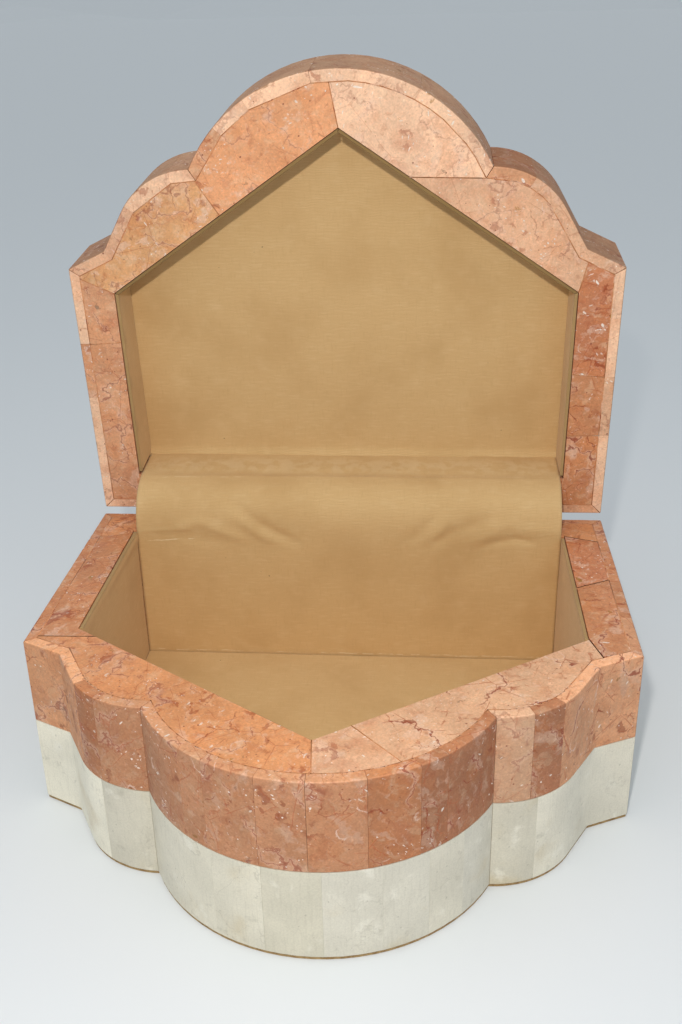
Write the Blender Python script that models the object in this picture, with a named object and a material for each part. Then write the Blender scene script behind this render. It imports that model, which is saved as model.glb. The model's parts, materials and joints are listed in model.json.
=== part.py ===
"""Marble jewelry box with a hinged lid, standing open.

The plan is a box with parallel sides and a scalloped front: a short slanted facet, a small lobe and a
large middle lobe on each side of the centre line. Upright stone staves clad it all round, wall stones
stand behind them round a five-sided cavity, and boards covered in fabric line it.

Units are metres, +Z is up and the front faces -Y. The origin is the middle of the underside. The lid's
pieces are drawn shut and hang on an empty on the hinge axis, which holds them open.
"""

import math

import bmesh
import bpy
from mathutils import Vector

# Overall sizes
WIDTH = 0.300
DEPTH = 0.2515
BASE_HEIGHT = 0.0955
WHITE_HEIGHT = 0.0492
LID_HEIGHT = 0.0435
BACK = DEPTH / 2
HALF = WIDTH / 2

# Joints between stones, and the groove that shows where two staves of one run meet
JOINT = 0.0003
GROOVE_DEPTH = 0.0006
GROOVE_HALF_WIDTH = 0.0004

# Scalloped front: distance from the centre line, distance from the back face
CORNER = (HALF, 0.1505)
FACET_END = (0.1290, 0.1605)
FLANK_END = (0.1165, 0.1820)
NOTCH = (0.0785, 0.2035)
SMALL_LOBE_RADIUS = 0.045
ARC_STEP = math.radians(4.5)

# Places along the front, from 4 at the right corner to -4 at the left one
CORNER_PLACE = 4.0
FACET_PLACE = 3.0
FLANK_PLACE = 2.0
NOTCH_PLACE = 1.0

# Staves, wall stones and the five-sided cavity
STAVE = 0.0060
CAVITY_HALF = 0.126
CAVITY_BACK = 0.0235
CAVITY_CORNER = 0.1367
CAVITY_TIP = 0.2230

# Bottom board with a rebate that the staves stand in
BOARD = 0.0081
BOARD_LIP = 0.0012
BOARD_SETBACK = 0.0006

# Lining. The floor board of the base is padded; the front boards stop a little below the rim.
LINING = 0.0018
FLOOR_LINING = 0.0049
CEILING_LINING = 0.0015
FRONT_LINING_DROP = 0.0014
CLOTH = 0.0012
CLOTH_STEPS = 14

# Lid
LID_CAVITY = 0.0262
LID_BOTTOM = BASE_HEIGHT + JOINT
LID_TOP = LID_BOTTOM + LID_HEIGHT
CEILING = LID_BOTTOM + LID_CAVITY
OPEN_ANGLE = math.radians(84.0)

# Hinges: the axis lies just behind the back face, halfway up the joint
AXIS_OFFSET = 0.0025
AXIS = Vector((0.0, BACK + AXIS_OFFSET, BASE_HEIGHT + JOINT / 2))
HINGE_PLACES = {"left": -0.082, "right": 0.082}
HINGE_LENGTH = 0.050
KNUCKLES = 5
KNUCKLE_RADIUS = 0.00215
BORE_RADIUS = 0.0013
PIN_RADIUS = 0.0010
LEAF = 0.00110
LEAF_WIDTH = 0.0140
RECESS = 0.0015
ROUND_SIDES = 24

# Seams between staves. Seams on the large lobe are angles from straight ahead, in degrees.
PINK_LARGE = (41.0, 32.0, 16.5, 0.0, -14.0, -30.5, -39.5)
WHITE_LARGE = (48.0, 35.0, 20.5, 3.5, -13.5, -29.5)
LID_LARGE = (28.0, -9.0, -33.0, -46.5)
PINK_SMALL = (1.75, 1.38, -1.55, -1.90)
WHITE_SMALL = (1.47, -1.58)
LID_SMALL = (1.50, -1.25, -1.93)
# Turns of the lid's border on the right, where the joint behind the staves is ground round
LID_TURNS_LARGE = (57.0, 51.5, 40.0, 34.0, 22.0, 16.0, 10.0, 4.0)
LID_TURNS_SMALL = (1.85, 1.70, 1.30)
# Seams on the straight faces, as distances from the back face or from the centre line
PINK_LEFT = (0.0640, 0.1080)
PINK_RIGHT = (0.0420, 0.0760, 0.1150)
WHITE_LEFT = (0.0480, 0.0950)
WHITE_RIGHT = (0.0560, 0.1060)
LID_LEFT = (0.0350, 0.0740, 0.1070)
LID_RIGHT = (0.0520, 0.0880, 0.1220)
PINK_BACK = (-0.1050, -0.0620, -0.0200, 0.0230, 0.0640, 0.1060)
WHITE_BACK = (-0.0900, -0.0380, 0.0140, 0.0620, 0.1100)
LID_BACK = (-0.1000, -0.0500, 0.0000, 0.0500, 0.1000)

# Wall stones, clockwise from the back seen from above. Each starts at a seam, given by its ends on the
# staves and on the cavity, as distances from the centre line and from the back face.
BASE_WALLS = (
    ("base_wall_back", (-0.1435, 0.0330), (-0.1260, 0.0280)),
    ("base_wall_right_rear", (0.1435, 0.0300), (0.1260, 0.0235)),
    ("base_wall_right_front", (0.1435, 0.0755), (0.1260, 0.0850)),
    ("base_wall_front_right", (0.1315, 0.1547), (0.1260, 0.1367)),
    ("base_wall_front_middle", (0.0372, 0.2340), (0.0160, 0.2120)),
    ("base_wall_front_left", (0.0020, 0.2460), (0.0000, 0.2230)),
    ("base_wall_left_front", (-0.1435, 0.1450), (-0.1150, 0.1443)),
    ("base_wall_left_rear", (-0.1435, 0.0625), (-0.1260, 0.0535)),
)
LID_WALLS = (
    ("lid_wall_back", (-0.1260, 0.0060), (-0.1260, 0.0235)),
    ("lid_wall_right_rear", (0.1260, 0.0060), (0.1260, 0.0235)),
    ("lid_wall_right_middle", (0.1435, 0.0518), (0.1260, 0.0515)),
    ("lid_wall_right_front", (0.1435, 0.0880), (0.1260, 0.0895)),
    ("lid_wall_right_lobe", (0.1300, 0.1540), (0.1260, 0.1367)),
    ("lid_wall_front_right", (0.0755, 0.1965), (0.0361, 0.1983)),
    ("lid_wall_front_left", (-0.0040, 0.2440), (0.0000, 0.2230)),
    ("lid_wall_left_lobe", (-0.0755, 0.1970), (-0.0638, 0.1793)),
    ("lid_wall_left_front", (-0.1435, 0.1450), (-0.1260, 0.1367)),
    ("lid_wall_left_rear", (-0.1435, 0.1068), (-0.1260, 0.1080)),
)

# Top stones: where each starts and ends on the staves, clockwise, and its corners in the middle
TOP_MIDDLE = (0.0, 0.1180)
TOP_LEFT = (-0.0480, 0.1180)
TOP_RIGHT = (0.0480, 0.1180)
LID_TOPS = (
    ("lid_top_rear_left", (-0.1435, 0.1180), (0.0, 0.0065), (TOP_MIDDLE,)),
    ("lid_top_rear_right", (0.0, 0.0065), (0.1435, 0.1180), (TOP_MIDDLE,)),
    ("lid_top_lobe_right", (0.1435, 0.1180), (0.0755, 0.1965), (TOP_RIGHT,)),
    ("lid_top_front_right", (0.0755, 0.1965), (0.0, 0.2450), (TOP_MIDDLE, TOP_RIGHT)),
    ("lid_top_front_left", (0.0, 0.2450), (-0.0755, 0.1965), (TOP_LEFT, TOP_MIDDLE)),
    ("lid_top_lobe_left", (-0.0755, 0.1965), (-0.1435, 0.1180), (TOP_LEFT,)),
)

# Colour, roughness and metallic value of each finish
FINISHES = {
    "pink_marble": ((0.66, 0.33, 0.20, 1.0), 0.42, 0.0),
    "white_marble": ((0.72, 0.68, 0.58, 1.0), 0.45, 0.0),
    "lining_fabric": ((0.46, 0.33, 0.18, 1.0), 0.90, 0.0),
    "bottom_board": ((0.16, 0.09, 0.05, 1.0), 0.80, 0.0),
    "hinge_brass": ((0.62, 0.44, 0.18, 1.0), 0.35, 1.0),
}


def clear_scene():
    """Remove every object of the scene."""
    for thing in list(bpy.data.objects):
        bpy.data.objects.remove(thing, do_unlink=True)


def new_collection(name):
    """Link a new collection to the scene."""
    collection = bpy.data.collections.new(name)
    bpy.context.scene.collection.children.link(collection)
    return collection


def finish(name):
    """Material of a finish, made once."""
    material = bpy.data.materials.get(name)
    if material:
        return material
    colour, roughness, metallic = FINISHES[name]
    material = bpy.data.materials.new(name)
    material.use_nodes = True
    shader = material.node_tree.nodes["Principled BSDF"]
    shader.inputs["Base Color"].default_value = colour
    shader.inputs["Roughness"].default_value = roughness
    shader.inputs["Metallic"].default_value = metallic
    return material


def plan(place):
    """Point of the plan from its distances to the centre line and to the back face."""
    return Vector((place[0], BACK - place[1]))


def mirrored(point, side):
    """The point on the right, or its mirror image on the left."""
    return Vector((point.x * side, point.y))


def inward(before, after):
    """Unit normal to the inner side of an edge, on an outline drawn clockwise."""
    along = (after - before).normalized()
    return Vector((along.y, -along.x))


def mitre(before, point, after, distance):
    """The point moved inwards until it is that far from both edges that meet in it."""
    first = inward(before, point)
    second = inward(point, after)
    middle = (first + second).normalized()
    return point + middle * (distance / middle.dot(first))


def inset(points, distance):
    """A closed clockwise outline moved inwards by a distance."""
    count = len(points)
    return [mitre(points[i - 1], points[i], points[(i + 1) % count], distance) for i in range(count)]


def arc_point(start, end, radius, fraction):
    """Point on the arc between two points that bulges to the left of the way from start to end."""
    chord = end - start
    half_turn = math.asin(chord.length / 2 / radius)
    left = Vector((-chord.y, chord.x)).normalized()
    centre = (start + end) / 2 - left * radius * math.cos(half_turn)
    turn = half_turn * (2 * fraction - 1)
    along = chord.normalized()
    return centre + left * radius * math.cos(turn) + along * radius * math.sin(turn)


def large_lobe():
    """Radius of the large lobe and half the angle that it spans, from the notch and the depth."""
    rise = DEPTH - NOTCH[1]
    radius = (NOTCH[0] ** 2 + rise**2) / (2 * rise)
    return radius, math.asin(NOTCH[0] / radius)


def front_point(place):
    """Outer outline of the front at a place."""
    side = -1 if place < 0 else 1
    size = abs(place)
    if size >= FACET_PLACE:
        point = plan(FACET_END).lerp(plan(CORNER), size - FACET_PLACE)
    elif size >= FLANK_PLACE:
        point = plan(FLANK_END).lerp(plan(FACET_END), size - FLANK_PLACE)
    elif size >= NOTCH_PLACE:
        point = arc_point(plan(FLANK_END), plan(NOTCH), SMALL_LOBE_RADIUS, FLANK_PLACE - size)
    else:
        radius, span = large_lobe()
        angle = span * size
        point = Vector((radius * math.sin(angle), radius - BACK - radius * math.cos(angle)))
    return mirrored(point, side)


def places(large, small=()):
    """Places of seams from right to left, from angles on the large lobe and places on the small ones."""
    span = math.degrees(large_lobe()[1])
    return sorted([angle / span for angle in large] + list(small), reverse=True)


def curved_places(start, end):
    """Places between two places of the front that follow its round stretches closely."""
    radius, span = large_lobe()
    small_span = 2 * math.asin((plan(FLANK_END) - plan(NOTCH)).length / 2 / SMALL_LOBE_RADIUS)
    found = {FACET_PLACE, FLANK_PLACE, NOTCH_PLACE, -NOTCH_PLACE, -FLANK_PLACE, -FACET_PLACE}
    steps = math.ceil(span / ARC_STEP)
    found.update(i / steps for i in range(-steps, steps + 1))
    steps = math.ceil(small_span / ARC_STEP)
    for i in range(1, steps):
        found.update((NOTCH_PLACE + i / steps, -NOTCH_PLACE - i / steps))
    return [place for place in sorted(found, reverse=True) if end < place < start]


def border_point(place):
    """Point on the back of the staves at a place of the front."""
    step = 0.001
    before = plan((HALF, 0.0)) if place >= CORNER_PLACE else front_point(place + step)
    after = plan((-HALF, 0.0)) if place <= -CORNER_PLACE else front_point(place - step)
    return mitre(before, front_point(place), after, STAVE)


def field_outline(turns):
    """Clockwise outline of the backs of the staves, straight from one turn to the next."""
    corners = [CORNER_PLACE, FACET_PLACE, NOTCH_PLACE]
    stops = sorted(set(corners + [-place for place in corners] + list(turns)), reverse=True)
    rear = [(-HALF + STAVE, STAVE), (HALF - STAVE, STAVE)]
    return [plan(point) for point in rear] + [border_point(place) for place in stops]


def cavity_outline():
    """Clockwise outline of the five-sided cavity between the wall stones."""
    corners = [
        (-CAVITY_HALF, CAVITY_BACK),
        (CAVITY_HALF, CAVITY_BACK),
        (CAVITY_HALF, CAVITY_CORNER),
        (0.0, CAVITY_TIP),
        (-CAVITY_HALF, CAVITY_CORNER),
    ]
    return [plan(point) for point in corners]


def snap(outline, point):
    """Nearest point of an outline, and how far round it lies, as an index and a fraction."""
    best = None
    for i, start in enumerate(outline):
        edge = outline[(i + 1) % len(outline)] - start
        fraction = min(1.0, max(0.0, (point - start).dot(edge) / edge.length_squared))
        near = start + edge * fraction
        distance = (near - point).length
        if best is None or distance < best[0] - JOINT / 10:
            best = (distance, i + fraction, near)
    return best[1], best[2]


def chain(outline, start, end):
    """The stretch of a clockwise outline between the points nearest to two given ones."""
    first, start_point = snap(outline, start)
    last, end_point = snap(outline, end)
    count = len(outline)
    if last <= first:
        last += count
    inner = [i for i in range(math.floor(first) + 1, math.ceil(last)) if first < i < last]
    points = [start_point] + [outline[i % count] for i in inner] + [end_point]
    kept = points[:1]
    for point in points[1:]:
        if (point - kept[-1]).length > JOINT:
            kept.append(point)
    return kept


def add_slab(name, outline, bottom, top, material, target, pivot=None):
    """Piece with a flat outline and upright sides, hung on the pivot if it has one."""
    curve = bpy.data.curves.new(name, "CURVE")
    curve.dimensions = "2D"
    curve.fill_mode = "BOTH"
    curve.extrude = (top - bottom) / 2
    spline = curve.splines.new("POLY")
    spline.points.add(len(outline) - 1)
    for knot, point in zip(spline.points, outline):
        knot.co = (point.x, point.y, 0.0, 1.0)
    spline.use_cyclic_u = True
    curve.materials.append(finish(material))
    slab = bpy.data.objects.new(name, curve)
    target.objects.link(slab)
    slab.location = (0.0, 0.0, (bottom + top) / 2)
    hang(slab, pivot)
    return slab


def hang(thing, pivot):
    """Parent a piece that is placed as if shut to the pivot."""
    if pivot:
        thing.parent = pivot
        thing.location -= AXIS


def made_mesh(slab):
    """Turn a slab into a closed mesh, so that it can be cut or joined."""
    bpy.context.view_layer.update()
    depsgraph = bpy.context.evaluated_depsgraph_get()
    mesh = bpy.data.meshes.new_from_object(slab.evaluated_get(depsgraph))
    weld = bmesh.new()
    weld.from_mesh(mesh)
    bmesh.ops.remove_doubles(weld, verts=weld.verts, dist=0.00001)
    bmesh.ops.recalc_face_normals(weld, faces=weld.faces)
    weld.to_mesh(mesh)
    weld.free()
    name = slab.name
    piece = bpy.data.objects.new(name, mesh)
    for collection in slab.users_collection:
        collection.objects.link(piece)
    piece.parent = slab.parent
    piece.location = slab.location
    bpy.data.objects.remove(slab, do_unlink=True)
    piece.name = name
    return piece


def boolean(piece, other, operation):
    """Cut a piece with another body, or join them."""
    modifier = piece.modifiers.new(other.name, "BOOLEAN")
    modifier.operation = operation
    modifier.object = other


def guide(thing, tools):
    """Keep a cutter or a body to join out of sight."""
    thing.hide_render = True
    thing.display_type = "WIRE"
    for collection in thing.users_collection:
        collection.objects.unlink(thing)
    tools.objects.link(thing)


def add_box(name, low, high, target):
    """Box between two corners."""
    mesh = bpy.data.meshes.new(name)
    shape = bmesh.new()
    bmesh.ops.create_cube(shape, size=1.0)
    size = Vector(high) - Vector(low)
    bmesh.ops.scale(shape, vec=size, verts=shape.verts)
    shape.to_mesh(mesh)
    shape.free()
    box = bpy.data.objects.new(name, mesh)
    target.objects.link(box)
    box.location = (Vector(low) + Vector(high)) / 2
    return box


def add_rod(name, radius, start, end, target):
    """Round rod along X on the hinge axis, from one distance to another."""
    mesh = bpy.data.meshes.new(name)
    shape = bmesh.new()
    bmesh.ops.create_cone(
        shape,
        cap_ends=True,
        segments=ROUND_SIDES,
        radius1=radius,
        radius2=radius,
        depth=end - start,
    )
    shape.to_mesh(mesh)
    shape.free()
    mesh.shade_smooth()
    mesh.set_sharp_from_angle(angle=math.radians(40))
    rod = bpy.data.objects.new(name, mesh)
    target.objects.link(rod)
    rod.rotation_euler = (0.0, math.radians(90), 0.0)
    rod.location = ((start + end) / 2, AXIS.y, AXIS.z)
    return rod


def grooved(outline, seams):
    """Outline with a small groove in place of each seam point."""
    points = []
    for i, point in enumerate(outline):
        if not any((point - seam).length < JOINT for seam in seams):
            points.append(point)
            continue
        after = outline[(i + 1) % len(outline)]
        normal = inward(outline[i - 1], after)
        along = Vector((-normal.y, normal.x))
        points += [
            point - along * GROOVE_HALF_WIDTH,
            point + normal * GROOVE_DEPTH,
            point + along * GROOVE_HALF_WIDTH,
        ]
    return points


def stave_run(outer, seams, field):
    """Outline of a run of staves, from its outer points and the backs of the staves between its ends."""
    backs = chain(field, mitred_end(outer[0]), mitred_end(outer[-1]))
    outline = outer + backs[::-1]
    return grooved(inset(outline, JOINT / 2), seams)


def mitred_end(point):
    """Corner of the staves' backs that belongs to a corner of the outer outline."""
    corners = [plan((-HALF + STAVE, STAVE)), plan((HALF - STAVE, STAVE))]
    corners += [border_point(place) for place in (CORNER_PLACE, NOTCH_PLACE, -NOTCH_PLACE, -CORNER_PLACE)]
    return min(corners, key=lambda corner: (corner - point).length)


def front_run(start, end, seams):
    """Outer points of the front between two places, and the seams between them."""
    inside = [place for place in seams if end < place < start]
    clear = GROOVE_HALF_WIDTH * 2
    points = [front_point(start)]
    for place in sorted(set(curved_places(start, end) + inside), reverse=True):
        point = front_point(place)
        near_seam = any(0 < (point - front_point(seam)).length < clear for seam in inside)
        if not near_seam:
            points.append(point)
    points.append(front_point(end))
    return points, [front_point(place) for place in inside]


def straight_run(start, end, seams):
    """Outer points of a straight face with its seams, all as plan places."""
    inside = [plan(place) for place in seams]
    return [plan(start)] + inside + [plan(end)], inside


def add_staves(prefix, seams, back, left, right, field, bottom, top, material, target, pivot=None):
    """The six runs of staves of one band, each a single body with grooves at its seams."""
    half = HALF
    corner = CORNER[1]
    runs = {
        "back": straight_run((-half, 0.0), (half, 0.0), [(x, 0.0) for x in back]),
        "right": straight_run((half, 0.0), CORNER, [(half, depth) for depth in right]),
        "right_lobe": front_run(CORNER_PLACE, NOTCH_PLACE, seams),
        "centre_lobe": front_run(NOTCH_PLACE, -NOTCH_PLACE, seams),
        "left_lobe": front_run(-NOTCH_PLACE, -CORNER_PLACE, seams),
        "left": straight_run((-half, corner), (-half, 0.0), [(-half, depth) for depth in reversed(left)]),
    }
    made = {}
    for name, (outer, seam_points) in runs.items():
        outline = stave_run(outer, seam_points, field)
        made[name] = add_slab(f"{prefix}_{name}", outline, bottom, top, material, target, pivot)
    return made


def add_walls(stones, field, bottom, top, target, pivot=None):
    """Wall stones between the staves and the cavity."""
    cavity = cavity_outline()
    made = {}
    for i, (name, outer, inner) in enumerate(stones):
        _, next_outer, next_inner = stones[(i + 1) % len(stones)]
        front = chain(field, plan(outer), plan(next_outer))
        rear = chain(cavity, plan(inner), plan(next_inner))
        outline = inset(front + rear[::-1], JOINT / 2)
        made[name] = add_slab(name, outline, bottom, top, "pink_marble", target, pivot)
    return made


def add_tops(field, target, pivot):
    """Top stones of the lid, inside the staves."""
    bottom = CEILING + CEILING_LINING + JOINT
    for name, start, end, corners in LID_TOPS:
        outline = chain(field, plan(start), plan(end)) + [plan(corner) for corner in corners]
        add_slab(name, inset(outline, JOINT / 2), bottom, LID_TOP, "pink_marble", target, pivot)


def add_bottom_board(field, target, tools):
    """Board with a thin lip under the staves."""
    outer = [plan((-HALF, 0.0)), plan((HALF, 0.0)), front_point(CORNER_PLACE)]
    outer += [front_point(place) for place in curved_places(CORNER_PLACE, -CORNER_PLACE)]
    outer.append(front_point(-CORNER_PLACE))
    lip = add_slab("board_lip", inset(outer, BOARD_SETBACK), 0.0, BOARD_LIP, "bottom_board", target)
    board = add_slab("bottom_board", inset(field, JOINT), 0.0, BOARD, "bottom_board", target)
    lip = made_mesh(lip)
    board = made_mesh(board)
    guide(lip, tools)
    boolean(board, lip, "UNION")


def lining_ring():
    """Outlines of the side and front boards of the lining, which stand against the wall stones."""
    cavity = cavity_outline()
    face = inset(cavity, LINING + JOINT)
    cloth = Vector((0.0, CLOTH + JOINT))
    rear_right, rear_left = cavity[1] - cloth, cavity[0] - cloth
    face_right = Vector((face[1].x, rear_right.y))
    face_left = Vector((face[0].x, rear_left.y))
    return {
        "right": [rear_right, cavity[2], face[2], face_right],
        "front_right": [cavity[2], cavity[3], face[3], face[2]],
        "front_left": [cavity[3], cavity[4], face[4], face[3]],
        "left": [cavity[4], rear_left, face_left, face[4]],
    }


def add_flat_lining(name, margin, bottom, thickness, target, pivot=None):
    """Board on the floor or the ceiling, its edge that far inside the wall stones."""
    flat = inset(cavity_outline(), margin)
    add_slab(name, flat, bottom, bottom + thickness, "lining_fabric", target, pivot)


def add_side_linings(prefix, bottom, top, front_drop, target, pivot=None):
    """Four boards round the sides and the front, the front ones lower by the drop."""
    for name, outline in lining_ring().items():
        shape = inset(outline, JOINT / 2)
        end = top - front_drop if name.startswith("front") else top
        add_slab(f"{prefix}_{name}", shape, bottom, end, "lining_fabric", target, pivot)


def opened(point):
    """A point of the lid's profile, in Y and Z, as it lies with the lid open."""
    across = point.x - AXIS.y
    up = point.y - AXIS.z
    return Vector(
        (
            AXIS.y + across * math.cos(OPEN_ANGLE) + up * math.sin(OPEN_ANGLE),
            AXIS.z - across * math.sin(OPEN_ANGLE) + up * math.cos(OPEN_ANGLE),
        )
    )


def add_hinge_cloth(floor, target):
    """Cloth up the back of the base, round over the joint and along the back of the lid."""
    reach = AXIS_OFFSET + CAVITY_BACK + JOINT
    ceiling = CEILING - JOINT

    def side(distance, backwards):
        rounded = []
        for i in range(CLOTH_STEPS + 1):
            turn = OPEN_ANGLE * i / CLOTH_STEPS
            across = -distance * math.cos(turn)
            up = distance * math.sin(turn)
            rounded.append(Vector((AXIS.y + across, AXIS.z + up)))
        low = Vector((AXIS.y - distance, floor))
        high = opened(Vector((AXIS.y - distance, ceiling)))
        points = [low] + rounded + [high]
        return points[::-1] if backwards else points

    outline = side(reach, False) + side(reach + CLOTH, True)
    half = CAVITY_HALF - JOINT
    cloth = add_slab("hinge_cloth", outline, -half, half, "lining_fabric", target)
    cloth.location = (0.0, 0.0, 0.0)
    cloth.rotation_euler = (math.radians(90), 0.0, math.radians(90))


def knuckle_spans(place, first):
    """Spans along X of the knuckles of one leaf, every second one from the first."""
    pitch = HINGE_LENGTH / KNUCKLES
    start = place - HINGE_LENGTH / 2
    return [
        (start + pitch * i + JOINT / 2, start + pitch * (i + 1) - JOINT / 2)
        for i in range(first, KNUCKLES, 2)
    ]


def add_leaf(name, place, side, first, target, tools, pivot=None):
    """Leaf of a butt hinge: a plate, the knuckles on the axis, and the bore through them."""
    near, far = JOINT * 2 / 3, JOINT * 2 / 3 + LEAF
    low, high = (AXIS.z - far, AXIS.z - near) if side < 0 else (AXIS.z + near, AXIS.z + far)
    ends = (place - HINGE_LENGTH / 2, place + HINGE_LENGTH / 2)
    rim = BACK - JOINT / 2
    leaf = add_box(name, (ends[0], BACK - LEAF_WIDTH, low), (ends[1], rim, high), target)
    leaf.data.materials.append(finish("hinge_brass"))
    for i, (start, end) in enumerate(knuckle_spans(place, first)):
        tab = add_box(f"{name}_tab_{i}", (start, rim - LEAF, low), (end, AXIS.y - PIN_RADIUS, high), target)
        knuckle = add_rod(f"{name}_knuckle_{i}", KNUCKLE_RADIUS, start, end, target)
        for part in (tab, knuckle):
            guide(part, tools)
            boolean(leaf, part, "UNION")
    bore = add_rod(f"{name}_bore", BORE_RADIUS, ends[0] - LEAF, ends[1] + LEAF, target)
    guide(bore, tools)
    boolean(leaf, bore, "DIFFERENCE")
    hang(leaf, pivot)
    if pivot:
        follow_pivot(leaf, pivot)


def follow_pivot(piece, pivot):
    """Hang the tools of a piece on the pivot too, so that they turn with it."""
    for modifier in piece.modifiers:
        if modifier.type == "BOOLEAN" and not modifier.object.parent:
            hang(modifier.object, pivot)


def add_hinges(target, tools, pivot):
    """Two brass butt hinges let into the back walls."""
    for name, place in HINGE_PLACES.items():
        add_leaf(f"hinge_{name}_base_leaf", place, -1, 0, target, tools)
        add_leaf(f"hinge_{name}_lid_leaf", place, 1, 1, target, tools, pivot)
        half = HINGE_LENGTH / 2
        pin = add_rod(f"hinge_{name}_pin", PIN_RADIUS, place - half, place + half, target)
        pin.data.materials.append(finish("hinge_brass"))


def cut_recesses(pieces, low, high, tools, pivot=None):
    """Let the hinge leaves into the rim of the back wall's pieces."""
    cutters = []
    for name, place in HINGE_PLACES.items():
        half = HINGE_LENGTH / 2 + JOINT
        corner = (place - half, BACK - LEAF_WIDTH - JOINT, low)
        box = add_box(f"recess_{name}", corner, (place + half, BACK + LEAF, high), tools)
        box.hide_render = True
        box.display_type = "WIRE"
        hang(box, pivot)
        cutters.append(box)
    for piece in pieces:
        piece = made_mesh(piece)
        for box in cutters:
            boolean(piece, box, "DIFFERENCE")


def add_base(target, tools):
    """Bottom board, wall stones, two bands of staves and the lining of the base."""
    pink = places(PINK_LARGE, PINK_SMALL)
    white = places(WHITE_LARGE, WHITE_SMALL)
    field = field_outline(curved_places(CORNER_PLACE, -CORNER_PLACE))
    foot = BOARD_LIP + JOINT
    low_joint = WHITE_HEIGHT - JOINT / 2
    high_joint = WHITE_HEIGHT + JOINT / 2
    add_bottom_board(field, target, tools)
    walls = add_walls(BASE_WALLS, field, BOARD + JOINT, BASE_HEIGHT, target)
    rows = (WHITE_BACK, WHITE_LEFT, WHITE_RIGHT)
    add_staves("base_white", white, *rows, field, foot, low_joint, "white_marble", target)
    rows = (PINK_BACK, PINK_LEFT, PINK_RIGHT)
    staves = add_staves("base_pink", pink, *rows, field, high_joint, BASE_HEIGHT, "pink_marble", target)
    cut_recesses((walls["base_wall_back"], staves["back"]), AXIS.z - RECESS, AXIS.z + RECESS, tools)
    floor = BOARD + JOINT
    between_boards = LINING + JOINT + JOINT / 2
    add_side_linings("base_lining", floor, BASE_HEIGHT - JOINT, FRONT_LINING_DROP, target)
    add_flat_lining("base_lining_floor", between_boards, floor, FLOOR_LINING, target)
    add_hinge_cloth(floor, target)


def add_lid(target, tools, pivot):
    """Wall stones, staves, top stones and lining of the lid, all hung on the hinge axis."""
    seams = places(LID_LARGE, LID_SMALL)
    turns = places(LID_LARGE + LID_TURNS_LARGE, LID_SMALL + LID_TURNS_SMALL)
    field = field_outline(turns)
    wall_top = CEILING + CEILING_LINING
    walls = add_walls(LID_WALLS, field, LID_BOTTOM, wall_top, target, pivot)
    rows = (LID_BACK, LID_LEFT, LID_RIGHT)
    staves = add_staves("lid_pink", seams, *rows, field, LID_BOTTOM, LID_TOP, "pink_marble", target, pivot)
    backs = (walls["lid_wall_back"], staves["back"])
    cut_recesses(backs, AXIS.z - RECESS, AXIS.z + RECESS, tools, pivot)
    add_tops(field, target, pivot)
    add_side_linings("lid_lining", LID_BOTTOM + JOINT, CEILING - JOINT, 0.0, target, pivot)
    add_flat_lining("lid_lining_ceiling", JOINT / 2, CEILING, CEILING_LINING, target, pivot)


def main():
    """Build the box, its lid and its hinges."""
    clear_scene()
    target = new_collection("marble_jewelry_box")
    tools = new_collection("cutters")
    pivot = bpy.data.objects.new("lid_hinge_axis", None)
    target.objects.link(pivot)
    pivot.location = AXIS
    pivot.rotation_euler = (-OPEN_ANGLE, 0.0, 0.0)
    add_base(target, tools)
    add_lid(target, tools, pivot)
    add_hinges(target, tools, pivot)


main()
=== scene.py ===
"""Marble jewelry box, dressed for the camera.

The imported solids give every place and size. Each run of stones is cut into its single stones at its
seams, and each stone gets eased and chipped edges and a ground of its own. Boards covered in woven
cloth line the cavities, and one wrinkled cloth crosses the joint behind the hinge.
"""

import json
import logging
import math
import random
from dataclasses import dataclass, field
from enum import Enum
from typing import Iterable, Sequence

import bmesh
import bpy
from bmesh.types import BMEdge, BMesh, BMFace, BMVert
from bpy.types import Material, Node, NodeSocket, NodeTree, Object
from mathutils import Matrix, Vector, noise
from mathutils.bvhtree import BVHTree

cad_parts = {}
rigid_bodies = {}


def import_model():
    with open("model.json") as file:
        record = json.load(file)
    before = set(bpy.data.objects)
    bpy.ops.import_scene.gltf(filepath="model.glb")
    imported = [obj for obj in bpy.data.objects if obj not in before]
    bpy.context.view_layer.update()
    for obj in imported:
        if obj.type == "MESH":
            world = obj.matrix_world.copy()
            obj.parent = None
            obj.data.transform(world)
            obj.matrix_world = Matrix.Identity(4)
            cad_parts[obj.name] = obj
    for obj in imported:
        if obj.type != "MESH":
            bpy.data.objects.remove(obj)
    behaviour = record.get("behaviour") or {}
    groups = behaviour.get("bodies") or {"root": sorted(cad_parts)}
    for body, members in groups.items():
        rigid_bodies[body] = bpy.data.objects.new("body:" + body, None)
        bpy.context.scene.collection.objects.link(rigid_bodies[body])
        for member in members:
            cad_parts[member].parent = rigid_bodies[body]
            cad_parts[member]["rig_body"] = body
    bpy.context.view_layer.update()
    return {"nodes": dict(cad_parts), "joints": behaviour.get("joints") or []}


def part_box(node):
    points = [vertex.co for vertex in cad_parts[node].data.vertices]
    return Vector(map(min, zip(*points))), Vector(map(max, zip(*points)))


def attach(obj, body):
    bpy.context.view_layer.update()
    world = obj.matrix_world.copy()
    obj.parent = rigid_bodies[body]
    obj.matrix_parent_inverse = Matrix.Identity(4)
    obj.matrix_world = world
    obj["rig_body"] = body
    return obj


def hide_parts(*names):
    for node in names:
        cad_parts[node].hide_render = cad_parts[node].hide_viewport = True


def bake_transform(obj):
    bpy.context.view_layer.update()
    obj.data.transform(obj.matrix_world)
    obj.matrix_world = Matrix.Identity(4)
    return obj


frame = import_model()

LOG = logging.getLogger("jewelry_box")
MM = 0.001
MERGE = 0.002 * MM

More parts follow.
